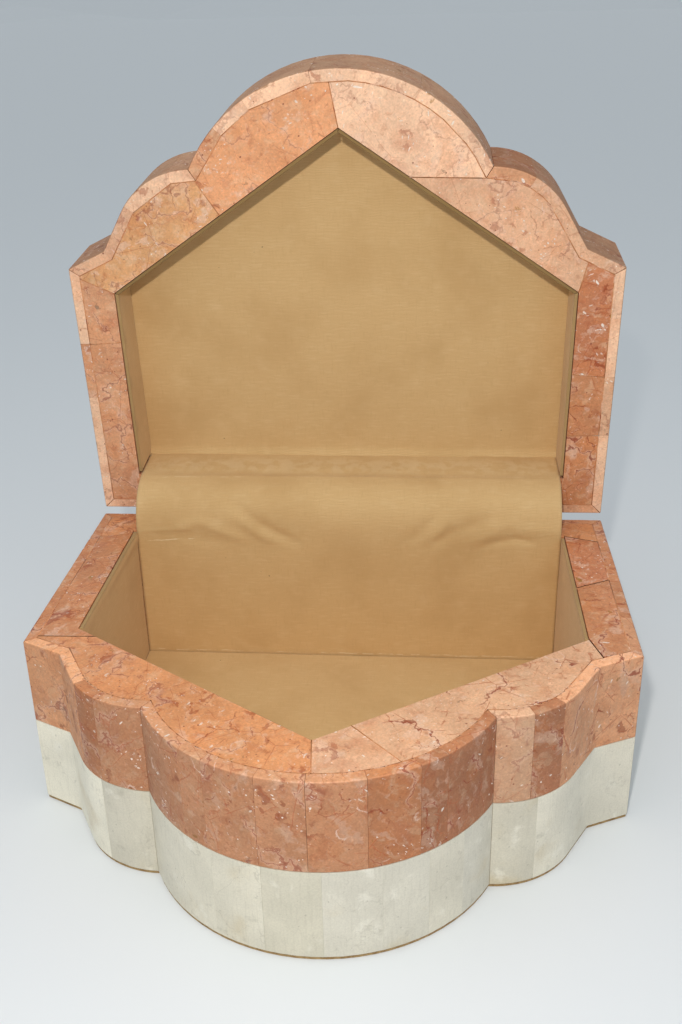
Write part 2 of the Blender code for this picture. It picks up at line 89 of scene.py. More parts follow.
# Faces that meet at less than the first angle are one face; at more than the others they meet in an
# edge that gets points, and in one that is bevelled.
ONE_FACE = math.radians(0.4)
SHARP_EDGE = math.radians(28)
SQUARE_EDGE = math.radians(50)

# Z of a face's normal that is smaller than this makes the face an upright one.
UPRIGHT = 0.5


class Body(Enum):
    """The two halves that the hinge joins."""

    BASE = "base"
    LID = "lid"


class Slot(Enum):
    """Material slots of the record."""

    BASE_PINK = "base_pink_marble"
    LID_PINK = "lid_pink_marble"
    WHITE = "white_marble"
    LINING = "lining_fabric"
    CLOTH = "hinge_cloth"
    BOARD = "bottom_board"
    BRASS = "hinge_brass"


JOINT = frame["joints"][0]
AXIS = Vector(JOINT["pos_m"])
OPEN_ANGLE = math.radians(JOINT["range_deg"][1])
TURN_SHUT = Matrix.Rotation(OPEN_ANGLE, 4, "X")
TURN_OPEN = Matrix.Rotation(-OPEN_ANGLE, 4, "X")


def linear(code: str) -> tuple[float, float, float, float]:
    """Turns an sRGB hex colour to linear.

    Args:
        code: Colour such as "#E8AA88".

    Returns:
        Red, green, blue and an alpha of one.
    """
    shares = [int(code[i : i + 2], 16) / 255 for i in (1, 3, 5)]
    red, green, blue = (s / 12.92 if s <= 0.04045 else ((s + 0.055) / 1.055) ** 2.4 for s in shares)
    return (red, green, blue, 1.0)


def add_node(tree: NodeTree, kind: str, inputs: dict | None = None, **settings: object) -> Node:
    """Adds one node with its settings and links.

    Args:
        tree: Node tree of a material or of the world.
        kind: Blender's name for the node type.
        inputs: Values or output sockets by the input's name or number.
        **settings: Attributes of the node.

    Returns:
        The new node.
    """
    node = tree.nodes.new(kind)
    for name, value in settings.items():
        setattr(node, name, value)
    for name, value in (inputs or {}).items():
        if isinstance(value, NodeSocket):
            tree.links.new(value, node.inputs[name])
        else:
            node.inputs[name].default_value = value
    return node


def new_material(name: str) -> tuple[Material, NodeTree, Node]:
    """Makes a material with an empty node tree.

    Args:
        name: Name of the real material.

    Returns:
        The material, its tree and its Principled shader.
    """
    material = bpy.data.materials.new(name)
    material.use_nodes = True
    tree = material.node_tree
    tree.nodes.clear()
    shader = add_node(tree, "ShaderNodeBsdfPrincipled")
    add_node(tree, "ShaderNodeOutputMaterial", {"Surface": shader.outputs["BSDF"]})
    return material, tree, shader


def blended(tree: NodeTree, share: NodeSocket | float, first: object, second: object) -> NodeSocket:
    """Mixes two colours by a share, and gives the resulting colour socket."""
    mix = add_node(tree, "ShaderNodeMix", {0: share, 6: first, 7: second}, data_type="RGBA")
    return mix.outputs[2]


def between(tree: NodeTree, value: NodeSocket, low: float, high: float) -> NodeSocket:
    """Share from 0 at low to 1 at high, with soft ends; high below low gives a falling share."""
    ends = {"Value": value, "From Min": low, "From Max": high}
    return add_node(tree, "ShaderNodeMapRange", ends, interpolation_type="SMOOTHSTEP").outputs["Result"]


def product(tree: NodeTree, first: object, second: object) -> NodeSocket:
    """Product of two shares."""
    return add_node(tree, "ShaderNodeMath", {0: first, 1: second}, operation="MULTIPLY").outputs[0]


def scaled(tree: NodeTree, colour: object, share: object) -> NodeSocket:
    """A colour made lighter or darker by a factor."""
    ends = {0: colour, "Scale": share}
    return add_node(tree, "ShaderNodeVectorMath", ends, operation="SCALE").outputs[0]


def tinted(tree: NodeTree, colour: object, share: object, weight: float, code: str) -> NodeSocket:
    """A colour turned towards another one by a share, and at most by the weight."""
    return blended(tree, product(tree, share, weight), colour, linear(code))


def larger(tree: NodeTree, first: object, second: object) -> NodeSocket:
    """The larger of two shares."""
    return add_node(tree, "ShaderNodeMath", {0: first, 1: second}, operation="MAXIMUM").outputs[0]


@dataclass(frozen=True)
class StonePattern:
    """Patterns that stone and worn cloth are made of, in the piece's own place."""

    tree: NodeTree
    place: NodeSocket

    def clouds(
        self, size_mm: float, seed: float, detail: float = 3.0, stretch: float = 1.0
    ) -> NodeSocket:
        """Noise of about that size.

        Args:
            size_mm: Size of one cloud on the stone.
            seed: Number that makes this noise unlike the others.
            detail: Octaves of finer noise on it.
            stretch: How many times longer it is along the stone's bed.

        Returns:
            The noise, around one half.
        """
        ends = {0: self.place, 1: (1.0, 1.0, stretch)}
        bed = add_node(self.tree, "ShaderNodeVectorMath", ends, operation="MULTIPLY").outputs[0]
        values = {"Vector": bed, "W": seed, "Scale": 1 / (size_mm * MM), "Detail": detail}
        return add_node(self.tree, "ShaderNodeTexNoise", values, noise_dimensions="4D").outputs["Fac"]

    def warped(self, size_mm: float, reach_mm: float) -> "StonePattern":
        """The same patterns in a place that a noise pulls to and fro.

        Args:
            size_mm: Size of the noise's waves.
            reach_mm: How far it pulls at most.

        Returns:
            The pulled patterns.
        """
        values = {"Vector": self.place, "Scale": 1 / (size_mm * MM), "Detail": 4.0, "Roughness": 0.65}
        pull = add_node(self.tree, "ShaderNodeTexNoise", values).outputs["Color"]
        ends = {0: pull, 1: (0.5, 0.5, 0.5)}
        centred = add_node(self.tree, "ShaderNodeVectorMath", ends, operation="SUBTRACT")
        ends = {0: self.place, 1: scaled(self.tree, centred.outputs[0], 2 * reach_mm * MM)}
        moved = add_node(self.tree, "ShaderNodeVectorMath", ends, operation="ADD")
        return StonePattern(self.tree, moved.outputs[0])

    def cracks(self, cell_mm: float, width_mm: float) -> NodeSocket:
        """Share of a net of hairlines.

        Args:
            cell_mm: Size of the cells between the lines.
            width_mm: Half the width of a line.

        Returns:
            One on a line and zero off it.
        """
        values = {"Vector": self.place, "Scale": 1 / (cell_mm * MM)}
        cells = add_node(self.tree, "ShaderNodeTexVoronoi", values, feature="DISTANCE_TO_EDGE")
        width = width_mm / cell_mm
        return between(self.tree, cells.outputs["Distance"], width, 0.25 * width)

    def contour(self, size_mm: float, seed: float, width: float) -> NodeSocket:
        """Share of the long winding lines where a noise passes its middle."""
        height = self.clouds(size_mm, seed, 4.0)
        return between(self.tree, self.apart(height, 0.5), width, width * 0.2)

    def apart(self, first: object, second: object) -> NodeSocket:
        """How far two values are apart.

        Args:
            first: One value.
            second: The other value.

        Returns:
            Their difference without its sign.
        """
        ends = {0: first, 1: second}
        above = add_node(self.tree, "ShaderNodeMath", ends, operation="SUBTRACT").outputs[0]
        return add_node(self.tree, "ShaderNodeMath", {0: above}, operation="ABSOLUTE").outputs[0]

    def region(self, size_mm: float, seed: float, low: float, high: float) -> NodeSocket:
        """Share of the wide areas where a plain noise is high."""
        return between(self.tree, self.clouds(size_mm, seed, 2.0), low, high)

    def arcs(self, cell_mm: float, seed: float, share: float, width_mm: float) -> NodeSocket:
        """Share of thin curved lines, as a broken shell shows where the saw met it.

        Args:
            cell_mm: Spacing of the arcs.
            seed: Number that breaks these arcs unlike the others.
            share: How many of the places hold an arc, from 0 to 1.
            width_mm: Half the width of the line.

        Returns:
            One on a line and zero off it.
        """
        values = {"Vector": self.place, "Scale": 1 / (cell_mm * MM)}
        cells = add_node(self.tree, "ShaderNodeTexVoronoi", values)
        lot = add_node(self.tree, "ShaderNodeSeparateColor", {0: cells.outputs["Color"]})
        ends = {"Value": lot.outputs["Green"], "To Min": 0.16, "To Max": 0.42}
        radius = add_node(self.tree, "ShaderNodeMapRange", ends).outputs[0]
        width = width_mm / cell_mm
        ring = between(self.tree, self.apart(cells.outputs["Distance"], radius), width, 0.3 * width)
        chosen = between(self.tree, lot.outputs["Red"], 1 - share - 0.01, 1 - share)
        broken = between(self.tree, self.clouds(cell_mm * 0.6, seed, 2.0), 0.48, 0.54)
        return product(self.tree, product(self.tree, ring, broken), chosen)

    def flecks(
        self, length_mm: float, width_mm: float, turn: tuple, share: float, fill: float
    ) -> NodeSocket:
        """Share of long specks that lie one way.

        Args:
            length_mm: Spacing of the specks along their length.
            width_mm: Spacing of the specks across it.
            turn: Turn of the specks, as Euler angles.
            share: How many of the places hold a speck, from 0 to 1.
            fill: Radius of a speck as a share of its place.

        Returns:
            One inside a speck and zero outside it.
        """
        scale = (1 / (length_mm * MM), 1 / (width_mm * MM), 1 / (width_mm * MM))
        turned = add_node(self.tree, "ShaderNodeMapping", {"Vector": self.place, "Rotation": turn})
        sized = {0: turned.outputs[0], 1: scale}
        cell = add_node(self.tree, "ShaderNodeVectorMath", sized, operation="MULTIPLY")
        values = {"Vector": cell.outputs[0], "Scale": 1.0}
        cells = add_node(self.tree, "ShaderNodeTexVoronoi", values)
        lot = add_node(self.tree, "ShaderNodeSeparateColor", {0: cells.outputs["Color"]})
        chosen = between(self.tree, lot.outputs["Red"], 1 - share - 0.01, 1 - share)
        radius = product(self.tree, lot.outputs["Green"], fill)
        ends = {0: radius, 1: cells.outputs["Distance"]}
        near = add_node(self.tree, "ShaderNodeMath", ends, operation="SUBTRACT")
        inside = between(self.tree, near.outputs[0], 0.0, 0.06)
        return product(self.tree, chosen, inside)


def stone_inputs(tree: NodeTree) -> tuple[NodeSocket, NodeSocket, Node]:
    """Reads what each stone carries in its mesh.

    Args:
        tree: The material's tree.

    Returns:
        The pattern's place, the ground colour, and a node with veins, specks and blotches as X, Y, Z.
    """
    place = add_node(tree, "ShaderNodeAttribute", attribute_name="stone_place").outputs["Vector"]
    ground = add_node(tree, "ShaderNodeAttribute", attribute_name="stone_ground").outputs["Color"]
    marks = add_node(tree, "ShaderNodeAttribute", attribute_name="stone_marks").outputs["Vector"]
    return place, ground, add_node(tree, "ShaderNodeSeparateXYZ", {0: marks})


def sawn_and_shaded(tree: NodeTree, colour: NodeSocket) -> NodeSocket:
    """A stone's colour, darker on the staves' outer faces: a sawn face's own colour and painted shade.
    """
    sawn_tint_and_shade = add_node(tree, "ShaderNodeAttribute", attribute_name="stone_sawn_tint_and_shade").outputs["Vector"]
    return add_node(tree, "ShaderNodeVectorMath", {0: colour, 1: sawn_tint_and_shade}, operation="MULTIPLY").outputs[0]


def dulled(tree: NodeTree, rough: NodeSocket) -> NodeSocket:
    """Raises a stone's roughness where its face is sawn and not honed.

    Args:
        tree: The material's tree.
        rough: Roughness of the honed faces.

    Returns:
        The roughness of all faces.
    """
    sawn_tint_and_shade = add_node(tree, "ShaderNodeAttribute", attribute_name="stone_sawn_tint_and_shade").outputs["Fac"]
    ends = {0: between(tree, sawn_tint_and_shade, 1.0, 0.5), 1: 0.35, 2: rough}
    return add_node(tree, "ShaderNodeMath", ends, operation="MULTIPLY_ADD").outputs[0]


@dataclass(frozen=True)
class PinkMarble:
    """Fossil limestone, sold as pink marble, sawn and honed: peach ground, shells and rusty hairlines.

    Honing leaves a soft sheen, so lamps show as wide pale bands and the specks and pits stay sharp.
    """

    light: float = 1.10
    dark: float = 0.95
    cream: str = "#F8D9B4"
    pale: str = "#F5D2BA"
    orange: str = "#E08C50"
    rust: str = "#B45C34"
    ember: str = "#A0441C"
    rose: str = "#C27458"
    brown: str = "#7C4A32"
    grey: str = "#94806A"
    ochre: str = "#A8751E"
    shell: str = "#FFF5E9"
    smear: str = "#F6DACA"
    vein: str = "#923516"
    fine_vein: str = "#B4582E"
    pit: str = "#86381F"
    roughness: float = 0.42
    gloss: float = 0.38
    bump: float = 0.30

    def clouded(
        self, pulled: StonePattern, jagged: StonePattern, colour: object, share: object
    ) -> NodeSocket:
        """Ground colour with its clouds and spots.

        Args:
            pulled: Patterns with soft outlines.
            jagged: Patterns with ragged outlines.
            colour: The stone's ground colour.
            share: How strong its blotches are.

        Returns:
            The new colour.
        """
        tree = pulled.tree
        shade = pulled.region(28, 1.0, 0.38, 0.62)
        colour = blended(tree, shade, scaled(tree, colour, self.dark), scaled(tree, colour, self.light))
        ragged = jagged.warped(1.1, 0.7)
        mottle = ragged.clouds(5.5, 2.0, 6.0, 0.6)
        small = ragged.clouds(2.0, 67.0, 5.0, 0.5)
        spots = jagged.clouds(7, 15.0, 5.0)
        layers = (
            (jagged.clouds(16, 8.0, 5.0), 0.50, 0.66, 0.42, self.orange),
            (pulled.clouds(13, 5.0, 6.0), 0.54, 0.68, 0.34, self.rose),
            (mottle, 0.55, 0.64, 0.30, self.cream),
            (mottle, 0.42, 0.33, 0.40, self.rust),
            (ragged.clouds(7, 12.0, 5.0, 0.20), 0.58, 0.65, 0.50, self.pale),
            (small, 0.57, 0.64, 0.26, self.pale),
            (small, 0.40, 0.32, 0.40, self.rust),
            (spots, 0.69, 0.71, 0.55, self.brown),
            (spots, 0.725, 0.745, 0.80, self.grey),
            (jagged.clouds(8, 19.0, 3.0), 0.71, 0.74, 0.95, self.ochre),
        )
        for height, low, high, weight, code in layers:
            patch = product(tree, between(tree, height, low, high), share)
            colour = tinted(tree, colour, patch, weight, code)
        embers = between(tree, ragged.clouds(4.5, 97.0, 5.0, 0.5), 0.55, 0.60)
        embers = product(tree, embers, pulled.region(22, 99.0, 0.55, 0.62))
        return tinted(tree, colour, product(tree, embers, share), 0.8, self.ember)

    def veined(self, plain: StonePattern, jagged: StonePattern, colour: object, share: object) -> tuple:
        """The colour with hairlines and veins.

        Args:
            plain: Patterns as they are.
            jagged: Patterns with ragged outlines.
            colour: The colour before the veins.
            share: How strong the stone's veins are.

        Returns:
            The new colour, and the share of the open veins, which are sunk.
        """
        tree = plain.tree
        straight = plain.warped(30, 1.5)
        pulled = plain.warped(7, 2.2)
        halo = product(tree, jagged.contour(38, 29.0, 0.030), plain.region(26, 31.0, 0.44, 0.54))
        colour = tinted(tree, colour, product(tree, halo, share), 0.35, self.pale)
        bent = plain.warped(5, 1.5).arcs(10, 57.0, 0.30, 0.22)
        layers = (
            (jagged.cracks(9, 0.22), plain.region(15, 23.0, 0.56, 0.62), 0.50, self.fine_vein),
            (straight.cracks(34, 0.26), plain.region(18, 27.0, 0.45, 0.54), 0.70, self.fine_vein),
            (pulled.cracks(19, 0.36), plain.region(13, 71.0, 0.53, 0.58), 0.60, self.fine_vein),
            (bent, plain.region(20, 59.0, 0.46, 0.54), 0.60, self.vein),
            (jagged.contour(38, 29.0, 0.0075), plain.region(26, 31.0, 0.42, 0.50), 0.85, self.vein),
        )
        for line, region, weight, code in layers:
            marks = product(tree, product(tree, line, region), share)
            colour = tinted(tree, colour, marks, weight, code)
        seam = product(tree, jagged.cracks(30, 0.40), plain.region(22, 37.0, 0.56, 0.62))
        seam = product(tree, seam, share)
        return tinted(tree, colour, seam, 0.85, self.vein), seam

    def shelled(self, plain: StonePattern, colour: object, share: object) -> NodeSocket:
        """The colour with slivers and arcs of white shell, most of them in swarms.

        Args:
            plain: Patterns as they are.
            colour: The colour before the shells.
            share: How many shells the stone has.

        Returns:
            The new colour.
        """
        tree = plain.tree
        swarm = plain.region(15, 47.0, 0.50, 0.60)
        shells = plain.flecks(3.0, 1.7, (0.9, 2.4, 1.8), 0.02, 0.32)
        bent = plain.warped(6, 1.4)
        for turn, length, width, lot in (
            ((0.4, 0.9, 0.3), 6.0, 1.1, 0.20),
            ((1.3, 0.2, 1.1), 3.6, 1.0, 0.12),
            ((2.1, 0.8, 2.9), 11.0, 1.6, 0.18),
        ):
            slivers = product(tree, bent.flecks(length, width, turn, lot, 0.38), swarm)
            shells = larger(tree, shells, slivers)
        ragged = plain.warped(2.5, 1.2).warped(9, 3.0)
        arcs = product(tree, ragged.arcs(13, 53.0, 0.30, 0.42), plain.region(19, 61.0, 0.48, 0.56))
        colour = tinted(tree, colour, product(tree, arcs, share), 0.60, self.smear)
        clots = between(tree, plain.warped(2.2, 1.2).clouds(3.4, 73.0, 4.0), 0.715, 0.74)
        shells = product(tree, larger(tree, shells, clots), share)
        return tinted(tree, colour, shells, 0.85, self.shell)

    def material(self, name: str) -> Material:
        """Builds the material.

        Args:
            name: Name of the stone in the scene.

        Returns:
            The finished material.
        """
        material, tree, shader = new_material(name)
        place, ground, marks = stone_inputs(tree)
        veins, specks, blotches = (marks.outputs[i] for i in range(3))
        plain = StonePattern(tree, place)
        pulled = plain.warped(18, 6)
        jagged = pulled.warped(3.0, 1.3)
        colour = self.clouded(pulled, jagged, ground, blotches)
        strokes = jagged.flecks(9.0, 1.3, (0.3, 1.1, 2.0), 0.22, 0.34)
        colour = tinted(tree, colour, product(tree, strokes, blotches), 0.55, self.rust)
        colour = sawn_and_shaded(tree, colour)
        colour, seam = self.veined(plain, jagged, colour, veins)
        colour = self.shelled(plain, colour, specks)
        pits = plain.flecks(2.4, 1.9, (0.7, 0.2, 0.5), 0.10, 0.28)
        colour = tinted(tree, colour, pits, 0.75, self.pit)

        fine = between(tree, plain.clouds(0.9, 41.0, 2.0), 0.2, 0.8)
        coarse = between(tree, jagged.clouds(2.2, 43.0, 3.0), 0.25, 0.75)
        grain = larger(tree, product(tree, fine, coarse), product(tree, fine, 0.55))
        shadow = add_node(tree, "ShaderNodeMapRange", {"Value": grain, "To Min": 0.80, "To Max": 1.16})
        honed = {"Value": coarse, "To Min": self.roughness + 0.06, "To Max": self.roughness - 0.06}
        rough = add_node(tree, "ShaderNodeMapRange", honed)
        tree.links.new(scaled(tree, colour, shadow.outputs[0]), shader.inputs["Base Color"])
        tree.links.new(dulled(tree, rough.outputs[0]), shader.inputs["Roughness"])
        shader.inputs["Specular IOR Level"].default_value = self.gloss

        sunk = larger(tree, pits, product(tree, seam, 0.3))
        ends = {0: product(tree, grain, 0.12), 1: sunk}
        height = add_node(tree, "ShaderNodeMath", ends, operation="SUBTRACT")
        bump = {"Height": height.outputs[0], "Strength": self.bump, "Distance": 0.25 * MM}
        relief = add_node(tree, "ShaderNodeBump", bump)
        tree.links.new(relief.outputs["Normal"], shader.inputs["Normal"])
        return material


@dataclass(frozen=True)
class WhiteMarble:
    """White limestone, sold as marble, sawn and honed: cream grey with faint clouds and saw marks."""

    light: float = 1.05
    dark: float = 0.92
    brown_tint: str = "#CDBB94"
    speck: str = "#8D8672"
    pale: str = "#F4F0E2"
    mark_mm: float = 1.0
    roughness: float = 0.42
    gloss: float = 0.38

    def material(self, name: str) -> Material:
        """Builds the material.

        Args:
            name: Name of the stone in the scene.

        Returns:
            The finished material.
        """
        material, tree, shader = new_material(name)
        place, ground, marks = stone_inputs(tree)
        plain = StonePattern(tree, place)
        pulled = plain.warped(14, 4)
        shade = between(tree, pulled.clouds(22, 3.0, 5.0), 0.3, 0.7)
        dark, light = scaled(tree, ground, self.dark), scaled(tree, ground, self.light)
        colour = blended(tree, shade, dark, light)
        brown_tint = between(tree, pulled.clouds(30, 9.0, 5.0), 0.56, 0.74)
        colour = tinted(tree, colour, brown_tint, 0.5, self.brown_tint)
        smudge = between(tree, pulled.warped(3, 1).clouds(7, 23.0, 5.0), 0.60, 0.72)
        colour = tinted(tree, colour, smudge, 0.22, self.speck)
        pale = between(tree, pulled.clouds(9, 13.0, 4.0), 0.58, 0.72)
        colour = tinted(tree, colour, pale, 0.45, self.pale)
        specks = plain.flecks(3.2, 1.8, (0.4, 0.9, 0.3), 0.14, 0.28)
        colour = tinted(tree, colour, specks, 0.35, self.speck)
        line = product(tree, pulled.contour(30, 17.0, 0.004), marks.outputs[0])
        colour = tinted(tree, colour, line, 0.3, self.speck)
        upright = add_node(tree, "ShaderNodeTexCoord").outputs["Object"]
        ends = {0: upright, 1: (1.0, 1.0, 0.09)}
        long_way = add_node(tree, "ShaderNodeVectorMath", ends, operation="MULTIPLY").outputs[0]
        saw_marks = StonePattern(tree, long_way).clouds(self.mark_mm, 31.0, 3.0)
        colour = tinted(tree, colour, between(tree, saw_marks, 0.50, 0.66), 0.08, self.speck)
        grain = between(tree, plain.clouds(0.8, 21.0, 2.0), 0.2, 0.8)
        shadow = add_node(tree, "ShaderNodeMapRange", {"Value": grain, "To Min": 0.92, "To Max": 1.05})
        honed = {"Value": shade, "To Min": self.roughness + 0.05, "To Max": self.roughness - 0.03}
        rough = add_node(tree, "ShaderNodeMapRange", honed)
        tree.links.new(scaled(tree, colour, shadow.outputs[0]), shader.inputs["Base Color"])
        tree.links.new(dulled(tree, rough.outputs[0]), shader.inputs["Roughness"])
        shader.inputs["Specular IOR Level"].default_value = self.gloss
        height = {"Height": grain, "Strength": 0.15, "Distance": 0.08 * MM}
        relief = add_node(tree, "ShaderNodeBump", height)
        tree.links.new(relief.outputs["Normal"], shader.inputs["Normal"])
        return material


@dataclass(frozen=True)
class Crease:
    """A pale line along a sharp bend, in millimetres on the cloth's map: rubbed threads and painted
    highlight.
    """

    left: float
    right: float
    height: float
    slope: float = 0.0
    width: float = 0.5
    weight: float = 0.6

    def share(self, tree: NodeTree, place: NodeSocket) -> NodeSocket:
        """Share of the pale line along the bend, rubbed threads with painted highlight, which a noise
        breaks up.

        Args:
            tree: The material's tree.
            place: The cloth's map, in metres.

        Returns:
            Up to the weight on the bend, and zero off it.
        """
        axes = add_node(tree, "ShaderNodeSeparateXYZ", {0: place})
        line = {0: axes.outputs["X"], 1: -self.slope, 2: axes.outputs["Y"]}
        level = add_node(tree, "ShaderNodeMath", line, operation="MULTIPLY_ADD").outputs[0]
        pattern = StonePattern(tree, place)
        wobble = product(tree, pattern.clouds(9, 83.0), 2.4 * MM)
        middle = add_node(tree, "ShaderNodeMath", {0: wobble, 1: (self.height - 1.2) * MM}).outputs[0]
        across = pattern.apart(level, middle)
        band = between(tree, across, self.width * MM, 0.2 * self.width * MM)
        along = axes.outputs["X"]
        from_left = between(tree, along, self.left * MM, (self.left + 5) * MM)
        from_right = between(tree, along, self.right * MM, (self.right - 5) * MM)
        inside = product(tree, from_left, from_right)
        broken = between(tree, pattern.clouds(6, 89.0, 4.0), 0.40, 0.56)
        return product(tree, product(tree, product(tree, band, inside), broken), self.weight)


@dataclass(frozen=True)
class WovenCloth:
    """Ribbed cotton lining cloth, glued to card: matt, with fine weft ribs, slubs and a little fuzz.

    The threads are finer than the picture shows, so the ribs are drawn about twice as coarse.
    """

    creases: tuple[Crease, ...] = ()
    # Pale colour of the creases: rubbed threads, painted highlight, and painted light.
    worn: str = "#F0DDB4"
    thread: str = "#DCBA86"
    shadow: str = "#CAA672"
    slub: str = "#E4C796"
    dust: str = "#C29C68"
    # Brown of dirt, which the boards also use for painted shade.
    soil_and_shade: str = "#7C6238"
    speck: str = "#7A5A36"
    rib_mm: float = 0.80
    warp_mm: float = 0.62
    roughness: float = 0.92

    def material(self, name: str) -> Material:
        """Builds the material, which reads the piece's own cloth map in metres.

        Args:
            name: Name of the cloth in the scene.

        Returns:
            The finished material.
        """
        material, tree, shader = new_material(name)
        place = add_node(tree, "ShaderNodeUVMap", uv_map="cloth").outputs["UV"]
        stray = {"Vector": place, "Scale": 1 / (9 * MM), "Detail": 4.0}
        pull = add_node(tree, "ShaderNodeTexNoise", stray).outputs["Color"]
        moved = {0: place, 1: scaled(tree, pull, 2.2 * MM)}
        woven = add_node(tree, "ShaderNodeVectorMath", moved, operation="ADD").outputs[0]
        pitch = math.pi / (10 * self.rib_mm * MM)
        ribs = {"Vector": woven, "Scale": pitch, "Distortion": 1.2, "Detail": 2.0}
        rib = add_node(tree, "ShaderNodeTexWave", ribs, bands_direction="Y").outputs["Fac"]
        warps = {"Vector": woven, "Scale": math.pi / (10 * self.warp_mm * MM), "Distortion": 1.2}
        warp = add_node(tree, "ShaderNodeTexWave", warps, bands_direction="X").outputs["Fac"]
        ends = {0: 0.42, 2: rib, 3: warp}
        weave = add_node(tree, "ShaderNodeMix", ends, data_type="FLOAT").outputs[0]
        colour = blended(tree, between(tree, weave, 0.0, 0.8), linear(self.shadow), linear(self.thread))
        for stretch, low, weight, code in (
            ((110.0, 800.0, 1.0), 0.50, 0.30, self.slub),
            ((900.0, 140.0, 1.0), 0.52, 0.22, self.dust),
        ):
            ends = {0: place, 1: stretch}
            long_way = add_node(tree, "ShaderNodeVectorMath", ends, operation="MULTIPLY")
            values = {"Vector": long_way.outputs[0], "Scale": 1.0, "Detail": 4.0}
            streaks = add_node(tree, "ShaderNodeTexNoise", values).outputs["Fac"]
            colour = tinted(tree, colour, between(tree, streaks, low, low + 0.22), weight, code)
        for size_mm, low, weight, code in ((45, 0.42, 0.45, self.dust), (12, 0.50, 0.22, self.slub)):
            values = {"Vector": place, "Scale": 1 / (size_mm * MM), "Detail": 5.0}
            worn = add_node(tree, "ShaderNodeTexNoise", values).outputs["Fac"]
            colour = tinted(tree, colour, between(tree, worn, low, low + 0.28), weight, code)
        specks = StonePattern(tree, place).flecks(5.5, 4.5, (0.0, 0.0, 0.6), 0.05, 0.12)
        colour = tinted(tree, colour, specks, 0.6, self.speck)
        relief = {"Height": weave, "Strength": 0.16, "Distance": 0.18 * MM}
        bump = add_node(tree, "ShaderNodeBump", relief)
        for crease in self.creases:
            colour = blended(tree, crease.share(tree, place), colour, linear(self.worn))
        # Browner where the board carries it: dirt and painted shade at the mouth, painted shade under
        # the lid's point.
        soiled_and_shaded = add_node(tree, "ShaderNodeAttribute", attribute_name="cloth_soil_and_shade").outputs["Fac"]
        colour = tinted(tree, colour, soiled_and_shaded, 0.75, self.soil_and_shade)
        tree.links.new(colour, shader.inputs["Base Color"])
        tree.links.new(bump.outputs["Normal"], shader.inputs["Normal"])
        shader.inputs["Roughness"].default_value = self.roughness
        shader.inputs["Specular IOR Level"].default_value = 0.15
        shader.inputs["Sheen Weight"].default_value = 0.12
        shader.inputs["Sheen Roughness"].default_value = 0.5
        return material


@dataclass(frozen=True)
class FibreBoard:
    """Hard fibre board, sawn: tan and matt, with short brown fibres and a furred edge."""

    fibre: str = "#B59868"
    dark: str = "#8A6C42"
    roughness: float = 0.85

    def material(self, name: str) -> Material:
        """Builds the material.

        Args:
            name: Name of the finish in the scene.

        Returns:
            The finished material.
        """
        material, tree, shader = new_material(name)
        place = add_node(tree, "ShaderNodeTexCoord").outputs["Object"]
        values = {"Vector": place, "Scale": 1 / (2.2 * MM), "Detail": 5.0, "Roughness": 0.7}
        fibres = add_node(tree, "ShaderNodeTexNoise", values).outputs["Fac"]
        colour = blended(tree, between(tree, fibres, 0.3, 0.7), linear(self.dark), linear(self.fibre))
        relief = {"Height": fibres, "Strength": 0.4, "Distance": 0.2 * MM}
        bump = add_node(tree, "ShaderNodeBump", relief)
        tree.links.new(colour, shader.inputs["Base Color"])
        tree.links.new(bump.outputs["Normal"], shader.inputs["Normal"])
        shader.inputs["Roughness"].default_value = self.roughness
        return material


@dataclass(frozen=True)
class AgedBrass:
    """Rolled brass sheet and rod, gone dull: a yellow metal with brown tarnish in clouds."""

    metal: str = "#C49A4C"
    tarnish: str = "#7A5A2C"
    roughness: float = 0.38

    def material(self, name: str) -> Material:
        """Builds the material.

        Args:
            name: Name of the finish in the scene.

        Returns:
            The finished material.
        """
        material, tree, shader = new_material(name)
        place = add_node(tree, "ShaderNodeTexCoord").outputs["Object"]
        values = {"Vector": place, "Scale": 1 / (6 * MM), "Detail": 5.0}
        clouds = between(tree, add_node(tree, "ShaderNodeTexNoise", values).outputs["Fac"], 0.45, 0.7)
        colour = blended(tree, clouds, linear(self.metal), linear(self.tarnish))
        rough = {"Value": clouds, "To Min": self.roughness, "To Max": self.roughness + 0.25}
        dull = add_node(tree, "ShaderNodeMapRange", rough)
        tree.links.new(colour, shader.inputs["Base Color"])
        tree.links.new(dull.outputs[0], shader.inputs["Roughness"])
        shader.inputs["Metallic"].default_value = 1.0
        return material


@dataclass(frozen=True)
class Character:
    """What sets one stone apart: its ground colour and how many marks it has, from 0 to 1."""

    ground: str
    veins: float = 0.6
    specks: float = 0.8
    blotches: float = 0.6


@dataclass(frozen=True)
class Edges:
    """How the edges of a stone were eased, in millimetres.

    Fields: the bevel of exposed edges and of joints, half of a joint's gap, the spacing of points along
    an edge, how deep a chip and the even wear go, the share of chipped places, the length of the wear's
    waves and of a chip, and the deepest wear.
    """

    exposed: float = 0.55
    joint: float = 0.08
    gap: float = 0.07
    spacing: float = 1.5
    chip: float = 0.9
    wobble: float = 0.10
    chip_share: float = 0.30
    wave: float = 4.0
    chip_length: float = 2.4
    deepest: float = 2.2


def node_mesh(name: str) -> BMesh:
    """Copies a CAD node's mesh with its doubles merged and its flat faces whole, a lid's turned shut.

    Args:
        name: Name of the node.

    Returns:
        The new mesh.
    """
    bm = bmesh.new()
    bm.from_mesh(frame["nodes"][name].data)
    bmesh.ops.remove_doubles(bm, verts=bm.verts, dist=MERGE)
    if frame["nodes"][name]["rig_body"] == Body.LID.value:
        bmesh.ops.transform(bm, matrix=TURN_SHUT, space=Matrix.Translation(-AXIS), verts=bm.verts)
    bmesh.ops.dissolve_limit(bm, angle_limit=ONE_FACE, verts=bm.verts, edges=bm.edges)
    return bm


